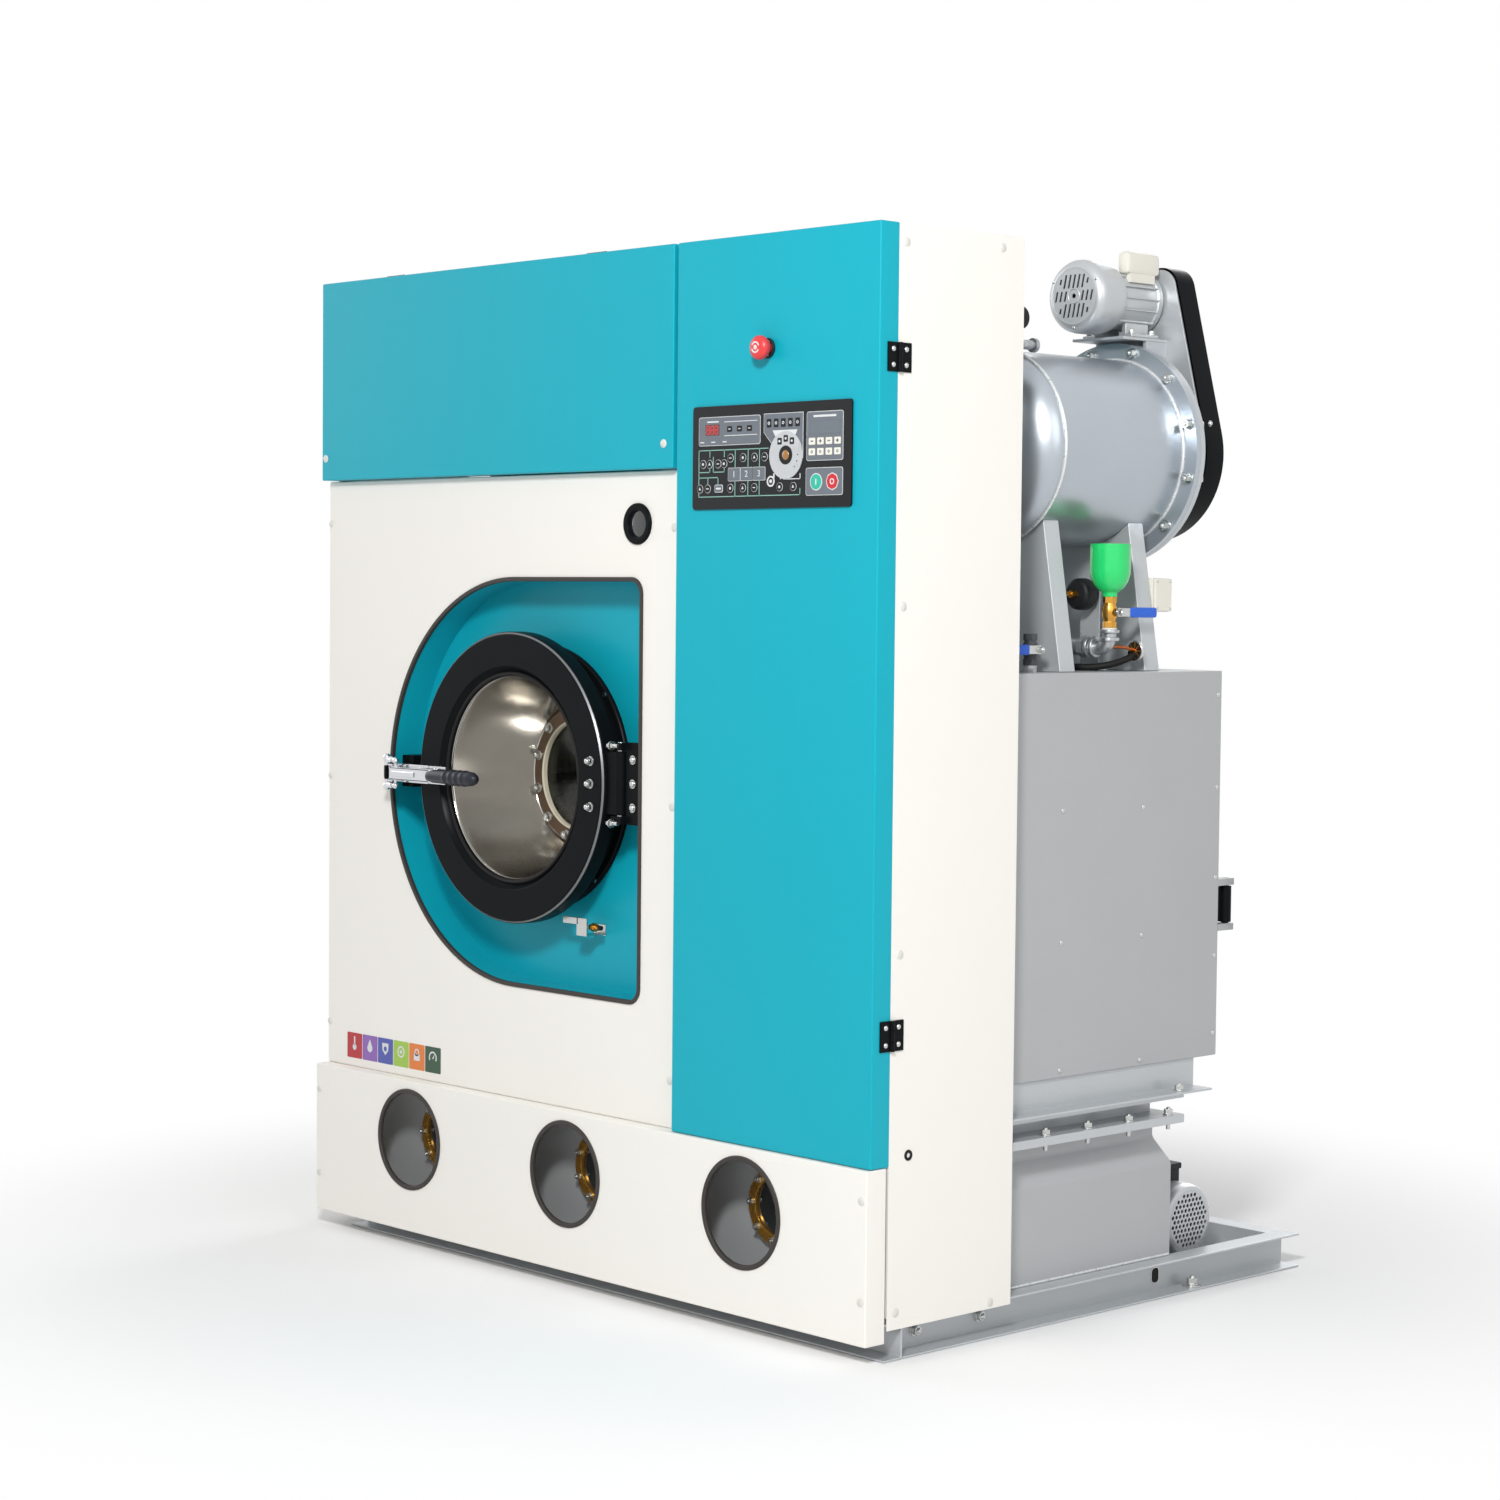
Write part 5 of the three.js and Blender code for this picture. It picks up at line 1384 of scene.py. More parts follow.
@dataclass
class Clamp:
    """The toggle clamp that holds the door shut."""

    pivot: Spot = (-495.0, -18.0)
    pin: Spot = (-481.0, -23.0)
    bar: Spot = (-527.0, -9.0)
    z: float = 899.0
    spread: float = 23.5

    def build(self) -> None:
        """Makes the base, the lever with its grip, the bolt and the catch."""
        z = self.z
        rebuilt(["clamp_base"], CHROME, 0.8, "loading_door")
        screws = Shape().domes(Y, grid((-425, -380), about(z, 9)), -7, -1, 5, 3)
        screws.into("clamp_base_screws", ZINC, "loading_door")
        self.build_lever()
        self.build_bolt()
        rebuilt(["clamp_catch"], ENAMEL, 1.4)

    def build_lever(self) -> None:
        """Makes the pressed lever, its links and the ribbed grip."""
        z = self.z
        cheek = [(-503, -13), (-505, -20), (-499, -27), (-488, -34), (-366, -34), (-358, -31), (-358, -21)]
        cheek += [(-400, -19), (-430, -12), (-470, -12)]
        lever = Shape()
        for low in (z - 12, z + 9):
            lever.prism(Z, cheek, low, low + 3)
        lever.box((-488, -362), (-34, -31), about(z, 12), 1)
        lever.box((-478, -410), (-37, -34), about(z, 5), 1.4)
        for x, y in (self.pivot, self.pin):
            lever.rod(Z, 4.4, z - 13.2, z + 13.2, (x, y), 20)
        lever.into("clamp_lever_pressed", CHROME, "clamp_lever", ["clamp_lever"], edge=0.8)
        profile = [(0, -374), (9, -374), (11.5, -371), (12, -362)]
        for start in (-320, -303, -286, -269):
            profile += [(13, start - 4), (13, start), (15, start + 3), (15, start + 6), (13, start + 9)]
        profile += [(13.4, -252), (12.4, -244), (9.5, -237), (5, -233), (0, -232)]
        grip = Shape().turn(X, profile, (-26.5, z), steps=40)
        grip.into("clamp_ribbed_grip", GRIP, "clamp_lever")

    def build_bolt(self) -> None:
        """Makes the U-bolt: a bar across the catch between two arms with ball ends."""
        z = self.z
        bolt = Shape().rod(Z, 4.8, z - 28, z + 28, self.bar, 24)
        bolt.rod(Z, 3, z - self.spread, z + self.spread, self.pin, 20)
        run = Vector(self.pin) - Vector(self.bar)
        middle = (Vector(self.pin) + Vector(self.bar)) / 2
        for side in (-1, 1):
            height = z + side * self.spread
            lean = Matrix.Rotation(math.atan2(run.y, run.x), 4, "Z") @ Matrix.Rotation(TURN / 4, 4, "Y")
            place = Matrix.Translation((*middle, height)) @ lean
            for radius, length in ((4.6, run.length + 6), (6.4, run.length * 0.45)):
                bolt.cone(place, 24, radius, radius, length)
            bolt.ball((*self.bar, height + side * 3), 8)
            bolt.ball((*self.pin, height), 6)
        bolt.into("clamp_u_bolt", CHROME, "clamp_bolt", ["clamp_bolt"])


@dataclass
class Drum:
    """The tub, the perforated drum inside it and the belt drive."""

    radius: float = 390.0
    front: float = 160.0
    rear: float = 570.0
    lip: float = 215.0
    pitch: float = 20.0
    hole: float = 5.4

    def pierced(self, faces: Iterable[bmesh.types.BMFace], shape: Shape) -> None:
        """Cuts an eight-sided hole in each of a sheet's square cells."""
        bm = shape.bm
        cells = list(faces)
        bmesh.ops.inset_individual(bm, faces=cells, thickness=self.pitch / 2 - self.hole)
        corners = {vert for cell in cells for vert in cell.verts}
        shape.soften(corners, self.hole * 0.6, 1, "VERTICES")
        bmesh.ops.delete(bm, geom=[face for face in bm.faces if len(face.verts) == 8], context="FACES")

    def build(self) -> None:
        """Makes the drum, the tub and the drive."""
        self.build_wall()
        self.build_ends()
        self.build_tub()
        self.build_drive()

    def build_wall(self) -> None:
        """Makes the drum's perforated wall: one strip of cells, repeated round the axis."""
        columns = round(TURN * self.radius / self.pitch)
        rows = round((self.rear - self.front) / self.pitch)
        chord = 2 * self.radius * math.tan(math.pi / columns)
        place = Matrix.Translation((DOOR_AXIS[0], (self.front + self.rear) / 2, DOOR_AXIS[1] + self.radius))
        size = Matrix.Diagonal((chord, self.rear - self.front, 1.0, 1.0))

        def strip(one: Shape) -> None:
            """Makes one strip of pierced cells, at the drum's top."""
            bmesh.ops.create_grid(one.bm, x_segments=1, y_segments=rows, size=0.5, matrix=place @ size)
            self.pierced(one.bm.faces[:], one)

        wall = Shape().round(Y, DOOR_AXIS, columns, strip)
        wall.into("drum_perforated_wall", SHEET_STEEL, "drum", ["drum_cage"])

    def build_ends(self) -> None:
        """Makes the drum's perforated back, its front lip, its three lifters and its shaft."""
        front, rear, radius = self.front, self.rear, self.radius
        back = Shape()
        count = round(2 * radius / self.pitch)
        centre = Y.at(DOOR_AXIS, rear - 3)
        place = Matrix.Translation(centre) @ Matrix.Rotation(TURN / 4, 4, "X")
        half = count * self.pitch / 2
        bmesh.ops.create_grid(back.bm, x_segments=count, y_segments=count, size=half, matrix=place)
        reach = radius - 14
        far = [face for face in back.bm.faces if (face.calc_center_median() - centre).length > reach]
        bmesh.ops.delete(back.bm, geom=far, context="FACES")
        self.pierced(back.bm.faces[:], back)
        back.into("drum_perforated_back", SHEET_STEEL, "drum")
        rims = Shape()
        for profile in (
            [(self.lip, front + 9), (self.lip + 4, front), (radius, front), (radius, front + 8)],
            [(radius, rear - 12), (radius, rear), (radius - 34, rear)],
            [(90, rear), (60, rear + 2), (60, rear + 14), (30, rear + 14), (30, 705), (0, 705)],
        ):
            rims.turn(Y, profile, DOOR_AXIS, steps=128)
        rims.into("drum_rims_and_shaft", SHEET_STEEL, "drum")
        foot, top = radius - 2, radius - 70
        rib = [(-34, foot), (-10, top + 4), (-5, top), (5, top), (10, top + 4), (34, foot)]
        section = moved(rib, DOOR_AXIS)
        lifters = Shape().round(Y, DOOR_AXIS, 3, lambda one: one.prism(Y, section, front + 4, rear - 4))
        turn = Matrix.Rotation(TURN * 0.06, 4, "Y")
        middle = Matrix.Translation(Y.at(DOOR_AXIS))
        bmesh.ops.transform(lifters.bm, matrix=middle @ turn @ middle.inverted(), verts=lifters.bm.verts[:])
        lifters.into("drum_lifters", SHEET_STEEL, "drum", edge=2)

    def build_tub(self) -> None:
        """Makes the tub with its rolled rims, its back plate, hub and legs, and the duct on it."""
        rebuilt(["air_duct"], GALVANISED, 1.2)
        shell = [(227, 133), (430, 133), (430, 608), (75, 608), (75, 655), (31, 655), (31, 600)]
        shell += [(426, 600), (426, 137), (227, 137)]
        tub = Shape().turn(Y, shell, DOOR_AXIS, True, 128)
        for along in (150, 370, 592):
            tub.turn(Y, rounded((428, 436), about(along, 9), 3), DOOR_AXIS, True, 128)
        for side in (-1, 1):
            x = DOOR_AXIS[0] + side * 270
            tub.box(about(x, 5), (193, 568), (308.5, 655))
            tub.box(about(x, 25), (194, 567), (307.8, 315.5))
            tub.bolts(Z, grid((x + side * 16,), (215, 380, 545)), 315.5, 1, 15)
        tub.into("drum_tub_rolled", TANK, "frame", ["drum_tub"], edge=1)
        bolts = Shape().bolts(Y, circle_row(DOOR_AXIS, 412, 24), 608, 1, 13)
        bolts.bolts(Y, circle_row(DOOR_AXIS, 60, 6), 655, 1, 13)
        bolts.into("drum_tub_bolts", ZINC, edge=0.4)

    def build_drive(self) -> None:
        """Makes the motor, the two pulleys and the belt between them."""
        low = (DOOR_AXIS[0], 392.0)
        wheel = Shape().turn(Y, groove(31, 150, 681), DOOR_AXIS, True)
        for spot in circle_row(DOOR_AXIS, 96, 6):
            wheel.rod(Y, 12, 680, 692, spot, 24)
        wheel.into("drum_pulley_cast", IRON, "drum", ["drum_pulley"], edge=0.6)
        small = Shape().turn(Y, groove(0, 45, 681), low, steps=64).rod(Y, 12, 540, 700, low)
        small.into("drum_motor_pulley_turned", IRON, "drum_motor_pulley", ["drum_motor_pulley"], edge=0.5)
        rebuilt(["drum_belt"], RUBBER, 0.8)
        motor = Shape()
        motor_body(motor, Y, low, 70, (250, 300), 560)
        for side in (-1, 1):
            x = low[0] + side * 55
            motor.box(about(x, 22), (310, 500), (307.8, 319), 2)
            motor.box(about(x - side * 9, 6), (320, 490), (317, 354), 2)
        motor.box(about(low[0], 40), (360, 440), (450, 466), 3)
        motor.into("drum_motor_cast", ALLOY, "frame", ["drum_motor"], edge=0.8)


def groove(bore: float, radius: float, y: float) -> list[Spot]:
    """Works out a V-belt pulley's profile.

    Args:
        bore: its bore's radius.
        radius: the radius of the bottom of its groove.
        y: where its groove starts.

    Returns:
        Points of (radius, y), closed on themselves.
    """
    rim, well, hub = radius + 9, radius - 8, bore + 14
    section = [(bore, -8), (hub, -8), (hub, 0), (well, 0), (well, -9), (rim, -9), (rim, -1), (radius, 1)]
    section += [(radius, 9), (rim, 11), (rim, 19), (well, 19), (well, 10), (hub, 10), (hub, 18), (bore, 18)]
    return moved(section, (0, y))


def motor_body(shape: Shape, axis: Axis, centre: Spot, radius: float, cover: Span, end: float) -> None:
    """Adds a motor's case: a rounded fan cover, a finned stator and an end shield.

    Args:
        shape: the shape that it is added to.
        axis: the way its shaft runs.
        centre: the shaft's place on the other two axes.
        radius: the cover's radius.
        cover: where the fan cover starts and ends along the axis, from its free end.
        end: where the end shield ends.
    """
    way = 1 if end > cover[0] else -1
    start, stop = cover
    case = [(radius - 14, start + way * 6), (radius - 12, start), (radius - 5, start + way * 2)]
    case += [(radius - 1, start + way * 8), (radius, start + way * 18), (radius, stop)]
    shape.turn(axis, [*case, (radius - 6, stop + way * 2)], centre)
    shield = end - way * 16
    core = [(radius - 7, stop - way), (radius - 7, shield), (radius - 2, shield)]
    core.append((radius - 2, end - way * 5))
    shape.turn(axis, [*core, (radius - 9, end), (24, end), (22, end + way * 3), (0, end + way * 3)], centre)
    u, v = centre
    low, high = sorted((stop + way * 3, shield))
    thin, tall = about(u, 1.3), (v + radius - 9, v + radius - 2)
    sides = ((low, high), thin) if axis is X else (thin, (low, high))
    shape.round(axis, centre, 36, lambda one: one.box(*sides, tall))


@dataclass
class Tank:
    """The base tank with its three bolted sight glasses."""

    face: float = 85.0
    bend: float = math.radians(24)  # the least angle of the edges where its plates are bent

    def build(self) -> None:
        """Makes the tank and its sight glasses."""
        tank = Shape().copy_of("base_tank")
        tank.soften(tank.creases(self.bend, CREASE), 5, 3)
        tank.into("base_tank_welded", TANK, "frame", ["base_tank"], edge=2.2)
        for index, (x, side) in enumerate(zip(PORTS, ("left", "middle", "right"))):
            centre = (x, PORT_Z)
            front = self.face - 14
            profile = [(48, 0), (64, 0), (68, 3), (70, 7), (70, 13.7), (48, 13.7)]
            ring = Shape().turn(Y, moved(profile, (0, front)), centre, True)
            ring.into(f"sight_glass_ring_{side}", BRASS, "frame", [f"tank_sight_glass_{side}"], edge=0.8)
            bolts = Shape().bolts(Y, circle_row(centre, 58, 8, 0.06 * index), front, -1, 11)
            bolts.into(f"sight_glass_bolts_{side}", ZINC, edge=0.4)
            pane = moved([(50, 13), (50, 7), (46, 5), (0, 4)], (0, front))
            Shape().turn(Y, pane, centre).into(f"sight_glass_pane_{side}", SHADE_GLASS)
        welds = Shape()
        for x in (-700, 715):
            welds.box(about(x, 2.5), (89, 808), (63.2, 68), 1.8)
        welds.box((-697, 712), (808.5, 813.5), (63.2, 68), 1.8)
        welds.into("tank_weld_beads", WELD)


@dataclass
class Still:
    """The still's box on its stand, with the round clean-out door at its back."""

    right: float = 715.0
    left: float = 275.0
    rear: float = 935.0
    door: Spot = (485.0, 685.0)

    def build(self) -> None:
        """Makes the box, its rivets, the stand and the door."""
        box = Shape().copy_of("still_body")
        folds = [edge for edge in box.creases() if edge.calc_length() > 100]
        box.soften(folds, 2.4).into("still_body_made", TANK, "frame", ["still_body"])
        rebuilt(["still_stand"], SILVER, 1.0)
        rivets = Shape()
        columns = ((503, (874, 647, 426)), (718, (872, 646, 424)), (924, (1067, 900, 737, 595, 454)))
        for y, heights in columns:
            rivets.domes(X, grid((y,), heights), self.right, 1, 4.5, 2)
            rivets.domes(X, grid((y,), heights), self.left, -1, 4.5, 2)
        rivets.domes(Y, grid((300, 690), (1085, 930, 450)), self.rear, 1, 4.5, 2)
        rivets.into("still_rivets", ZINC)
        bolts = Shape()
        for x in (735, 254):
            for y in (446, 556, 666, 776):
                bolts.bolt(Z, (x, y), 323, 1, 16).rod(Z, 4, 297, 308.2, (x, y), 16)
            bolts.bolt(Z, (x, 805), 363, 1, 16)
        bolts.into("still_stand_bolts", ZINC, edge=0.4)
        self.build_door()

    def build_door(self) -> None:
        """Makes the dished door on its hinge, and its lifting handle."""
        x, z = self.door
        seat = self.rear + 0.3
        lid = [(0, 36), (60, 34), (110, 30), (144, 26), (158, 16), (162, 13), (186, 12), (190, 9), (190, 0)]
        lid += [(156, 0), (138, 12), (0, 22)]
        door = Shape().turn(Y, moved(lid, (0, seat)), self.door, steps=128)
        door.box((x + 184, 701), (seat + 2, seat + 46), about(z, 32), 2)
        door.rod(Z, 11, z - 33, z + 33, (701, 972), 32)
        door.rod(Z, 6, z - 46, z + 46, (701, 972), 28)
        door.into("still_door_pressed", ENAMEL, "still_door", ["still_door"], edge=1)
        handle = Shape()
        for side in (-54, 54):
            handle.box(about(x + side, 6), (seat + 30, seat + 62), about(z, 7), 3)
        handle.rod(X, 8, x - 70, x + 70, (seat + 60, z), 28)
        handle.into("still_door_handle", CHROME, "still_door", edge=1)
        screws = Shape().bolts(Y, grid((x + 176,), about(z, 20)), seat + 12, 1, 13)
        screws.into("still_door_screws", ZINC, "still_door", edge=0.4)


@dataclass
class Filter:
    """The disc filter on its saddles, with its motor, belt and guard."""

    axis: Spot = (538.0, 1501.0)
    radius: float = 169.5
    flange: float = 200.0
    front: float = 505.0
    rear: float = 835.0
    motor_z: float = 1779.0

    def build(self) -> None:
        """Makes the shell, saddles, motor, drive and guard."""
        self.build_shell()
        rebuilt(["filter_saddle_front", "filter_saddle_rear"], SILVER, 1.6)
        rebuilt(["motor_mounting_plate"], SILVER, 1.2)
        self.build_drive()
        self.build_motor()
        self.build_guard()

    def build_shell(self) -> None:
        """Makes the domed shell, the end cover, the bolts round it and the weld seams."""
        radius, flange, front, rear = self.radius, self.flange, self.front, self.rear
        angles = [TURN * step / 48 for step in range(12)]
        shell = [(radius * math.sin(a), front - 70 * math.cos(a)) for a in angles]
        shell += [(radius, front), (radius, rear - 12), (flange, rear - 12), (flange, rear)]
        shell += [(radius - 3, rear), (radius - 3, front)]
        shell += [((radius - 3) * math.sin(a), front - 64 * math.cos(a)) for a in angles[::-1]]
        body = Shape().turn(Y, shell, self.axis, steps=128)
        body.into("filter_shell_rolled", POLISHED, "frame", ["filter_shell"], edge=0.8)
        cover = [(14, 0.3), (flange, 0.3), (flange, 12), (60, 14), (44, 20), (40, 24), (40, 48), (14, 48)]
        lid = Shape().turn(Y, moved(cover, (0, rear)), self.axis, True, 128)
        lid.into("filter_end_cover_turned", SILVER, "frame", ["filter_end_cover"], edge=0.8)
        welds = Shape().ring(Y, radius + 0.6, 3.4, self.axis, front, 160)
        welds.ring(Y, radius + 1, 3.2, self.axis, rear - 13.5, 160)
        welds.into("filter_weld_beads", WELD)
        spots = circle_row(self.axis, 186, 12, 1 / 24)
        bolts = Shape().bolts(Y, spots, rear - 12, -1, 17).bolts(Y, spots, rear + 12, 1, 17)
        bolts.into("filter_flange_bolts", ZINC, edge=0.4)
        stub = Shape().rod(Y, 8.5, 470, 538, (605, 1676), 28)
        stub.rod(Y, 12.5, 530, 538, (605, 1676), 32)
        stub.rod(Z, 8.5, 1640, 1676, (605, 478), 28).ball((605, 478, 1676), 9)
        stub.into("filter_vent_stub", GALVANISED, edge=0.8)
        gauge = Shape().turn(X, rounded((0, 20), (578, 594), 4), (518, 1724), True, 48)
        gauge.rod(Z, 6, 1664, 1708, (586, 518), 20)
        gauge.into("filter_pressure_gauge", BLACK, edge=0.6)

    def build_drive(self) -> None:
        """Makes the disc spindle with its pulley, the motor's pulley and the belt."""
        spindle = Shape().rod(Y, 12, 570, 945, self.axis, 32)
        for at in (590, 640, 690, 740, 790):
            spindle.turn(Y, rounded((11, 138), about(at, 3), 1.4), self.axis, True)
        spindle.turn(Y, groove(11, 112, 921), self.axis, True)
        spindle.into("filter_spindle_turned", SHEET_STEEL, "filter_spindle", ["filter_spindle"], edge=0.5)
        shaft = (self.axis[0], self.motor_z)
        small = Shape().turn(Y, groove(0, 38, 921), shaft, steps=64).rod(Y, 12, 880, 939, shaft)
        rider = "filter_motor_pulley"
        small.into(f"{rider}_turned", IRON, rider, [rider], edge=0.5)
        rebuilt(["filter_belt"], RUBBER, 0.8)

    def build_motor(self) -> None:
        """Makes the motor: a slotted fan cover, a ribbed case, its feet and its capacitor box."""
        x = self.axis[0]
        centre = (x, self.motor_z)
        cover = [(47, 718), (50, 716), (56, 717.4), (61.5, 721.5), (65, 728), (66, 736)]
        cover += [(66, 775), (63, 789), (56, 789)]
        motor = Shape().turn(Y, cover, centre)
        motor.turn(Y, [(55, 787), (55, 884), (58, 886), (58, 897), (54, 900), (0, 900)], centre)
        for spot in (0.0, 0.06, 0.44, 0.5, 0.56, 0.94):
            rib = arc(centre, 57, spot, spot, 1)[0]
            motor.box(about(rib[0], 3), (790, 885), about(rib[1], 1.4), 0.8)
        for spot in (0.125, 0.375, 0.625, 0.875):
            motor.rod(Y, 2.8, 788, 888, arc(centre, 57, spot, spot, 1)[0], 16)
        shelf = 1709
        for side in (-1, 1):
            motor.box(about(x + side * 43, 15), (809, 884), (shelf + 0.3, shelf + 7), 1.5)
            motor.box(about(x + side * 34, 5), (815, 878), (shelf + 5, self.motor_z - 36), 1.5)
        motor.into("filter_motor_case", ALLOY, "frame", ["filter_motor"], edge=0.5)
        slots = [self.slot_at(centre, u, v) for v in (26, -26) for u in (-33, -22, -11, 0, 11, 22, 33)]
        slots += [self.slot_at(centre, u, 0) for u in (-43, -32, -21, 21, 32, 43)]
        slots.append(circle(centre, 4.5, 20))
        grille = Shape().prism(Y, circle(centre, 50, 72), 716.4, 718.4, slots)
        grille.ring(Y, 13, 1.4, centre, 716.4, 40)
        grille.into("filter_motor_grille", ALLOY)
        # A black disc a few mm behind the grille paints the shade inside the fan cover.
        Shape().rod(Y, 47, 725, 728, centre, 64).into("filter_motor_grille_shade", RUBBER)
        box = Shape().box((x + 27.2, x + 54.8), (800.5, 892.5), (1822, 1863), 9)
        box.box((x + 31, x + 51), (812, 880), (1808, 1828))
        box.into("capacitor_box", CREAM)
        feet = Shape().bolts(Z, grid(about(x, 50), (818, 874)), shelf + 7, 1, 11)
        for spot in (0.08, 0.42, 0.75):
            feet.dome(Y, arc(centre, 56.5, spot, spot, 1)[0], 717.6, -1, 3, 2)
        feet.into("filter_motor_screws", ZINC, edge=0.4)

    def slot_at(self, centre: Spot, u: float, v: float) -> list[Spot]:
        """Returns one slanted slot of the fan cover, kept inside its rim."""
        reach = min(12.0, math.sqrt(45**2 - u**2) - abs(v)) if v else 9.0
        reach = max(reach, 4.0)
        lean = 0.22
        half = 2.1
        ends = [(-half, -reach), (half, -reach), (half, reach), (-half, reach)]
        return [(centre[0] + u * 0.95 + a + b * lean, centre[1] + v + b) for a, b in ends]

    def build_guard(self) -> None:
        """Makes the belt guard, a tray open to the front, and its screws."""
        x, z = self.axis
        spread, corner, top, low = 44.0, 40.0, 1801.0, 156.0
        rise = top - z
        tilt = (math.asin((low - corner) / math.hypot(spread, rise)) - math.atan2(spread, rise)) / TURN
        outline = [
            *arc((x + spread, top), corner, tilt, 0.25, 10),
            *arc((x - spread, top), corner, 0.25, 0.5 - tilt, 10),
            *arc(self.axis, low, 0.5 - tilt, 1 + tilt, 48),
        ]
        guard = Shape().tray(Y, outline, 955, 907, fold=4)
        guard.into("belt_guard_pressed", ENAMEL, "frame", ["belt_guard"], wall=2)
        screws = Shape()
        for at, height in ((621.5, 1774), (684.5, 1556)):
            screws.rod(X, 5.5, at, at + 2, (924, height), 24)
            screws.dome(X, (924, height), at + 1.5, 1, 4.5, 4)
        screws.into("belt_guard_screws", ZINC)


@dataclass
class Fittings:
    """The funnel with its valve and pipe, the side valve, the pressure switch and the tubes."""

    funnel: Spot = (688.0, 650.0)
    side: Spot = (664.0, 470.0)

    def build(self) -> None:
        """Makes every fitting above the still."""
        self.build_funnel()
        self.build_valve("funnel", self.funnel, 1214.7, 1, BRASS)
        self.build_valve("still", self.side, 1150.0, -1, IRON)
        self.build_pipe()
        self.build_switch()
        self.build_box()

    def build_funnel(self) -> None:
        """Makes the green bowl: a straight wall over a round bottom and a short neck."""
        radius, neck, knee, top = 35.6, 1242.0, 1288.0, 1334.0
        angles = [TURN * (step + 3.4) / 49.6 for step in range(9)]
        bowl = [(radius * math.sin(a), knee - 42 * math.cos(a)) for a in angles]
        outside = [(13, neck), (13, knee - 40.5), *bowl]
        outside += [(radius, knee), (radius, top - 1), (radius - 0.8, top)]
        inside = [(radius - 2.5, top), (radius - 2.5, knee)]
        inside += [*moved(bowl[::-1], (-2.5, 1.5)), (9, neck + 8), (9, neck)]
        funnel = Shape().turn(Z, [*outside, *inside], self.funnel, True, 64)
        funnel.into("fill_funnel_moulded", GREEN, "frame", ["fill_funnel"])

    def build_valve(self, name: str, centre: Spot, z: float, way: int, look: Finish) -> None:
        """Makes one ball valve on an upright pipe, with its lever on a stem to the right.

        Args:
            name: which valve it is.
            centre: its pipe's x and y.
            z: the height of its stem.
            way: 1 where its lever points to the back, -1 where it points to the front.
            look: its body's finish.
        """
        x, y = centre
        body = Shape().rod(Z, 12.5, z - 27, z - 16, centre, 6)
        body.rod(Z, 12.5, z + 16, z + 27, centre, 6)
        profile = [(0, -17), (10.5, -17), (10.5, -13), (13, -8), (13.6, 0)]
        profile += [(13, 8), (10.5, 13), (10.5, 17), (0, 17)]
        body.turn(Z, moved(profile, (0, z)), centre, steps=48)
        body.rod(X, 7, x + 8, x + 16, (y, z), 28).rod(X, 6, x + 15, x + 19, (y, z), 6)
        body.into(f"{name}_valve_forged", look, "frame", [f"{name}_valve"], edge=0.7)
        at = x + 19.3
        rider = f"{name}_valve_lever"
        arm = Shape().rod(X, 8, at, at + 3, (y, z), 28).bolt(X, (y, z), at + 3, 1, 11)

        def along(start: float, end: float) -> Span:
            """Returns a stretch of the lever, by its distances from the stem."""
            return (min(y + way * start, y + way * end), max(y + way * start, y + way * end))

        arm.box((at + 1, at + 4), along(-5, 40), about(z, 7.5), 1.2)
        arm.box((at + 2, at + 5), along(92, 101), about(z, 4), 1.2)
        arm.into(f"{name}_lever_steel", ZINC, rider, [rider])
        sleeve = Shape().box((at + 0.2, at + 7.8), along(30, 98), about(z, 9), 3.4)
        sleeve.into(f"{name}_lever_sleeve", BLUE, rider)

    def build_pipe(self) -> None:
        """Makes the galvanised elbow, its union and the nipple up to the valve."""
        x, y = self.funnel
        run = 1153.4
        points = [(x, y, 1187), (x, y, run + 16), (x - 5, y, run + 5), (x - 16, y, run), (600, y, run)]
        pipe("funnel_elbow", points, 12.5, GALVANISED)
        fittings = Shape()
        for low in (1164, 1178):
            fittings.turn(Z, rounded((10, 18), (low, low + 6.5), 2), self.funnel, True, 40)
        for at in (x - 34, x - 46):
            fittings.turn(X, rounded((10, 19), (at, at + 7), 2), (y, run), True, 40)
        fittings.rod(X, 20, x - 62, x - 50, (y, run), 6)
        fittings.rod(X, 15, 552, x - 60, (y, run), 32).ball((560, y, run), 15)
        fittings.rod(Z, 13, 1111.3, run, (560, y), 32)
        fittings.into("funnel_pipe_union", GALVANISED, "frame", ["funnel_pipe"], edge=0.6)
        tape = Shape().rod(Z, 13.2, 1184.2, 1187.6, self.funnel, 32)
        tape.into("thread_sealing_tape", CREAM, edge=0.6)
        hose = [(596, 638, 1120), (620, 640, 1118), (660, 664, 1120), (686, 698, 1132), (693, 720, 1144)]
        pipe("black_drain_hose", hose, 6, RUBBER)
        tube = [(676, 660, 1153), (684, 682, 1154), (692, 700, 1151), (694, 713, 1147)]
        pipe("copper_tube", tube, 3, COPPER)
        self.build_disc((694.0, 1147.0))

    def build_disc(self, centre: Spot) -> None:
        """Makes the small spoked disc on the hose's end: a bright rim, a dark face and brass spokes."""
        x, z = centre
        rim = Shape().turn(Y, rounded((15, 18.5), (710.5, 717), 1.5), centre, True, 64)
        rim.into("spoked_disc_rim", ZINC)
        Shape().rod(Y, 16, 713.5, 716, centre, 48).into("spoked_disc_face", BLACK)
        spokes = Shape().rod(Y, 4, 711, 714, centre, 24)
        spoke = (about(x, 1.1), (712, 714), (z + 3, z + 15.5))
        spokes.round(Y, centre, 8, lambda one: one.box(*spoke))
        spokes.into("spoked_disc_spokes", BRASS, edge=0.3)

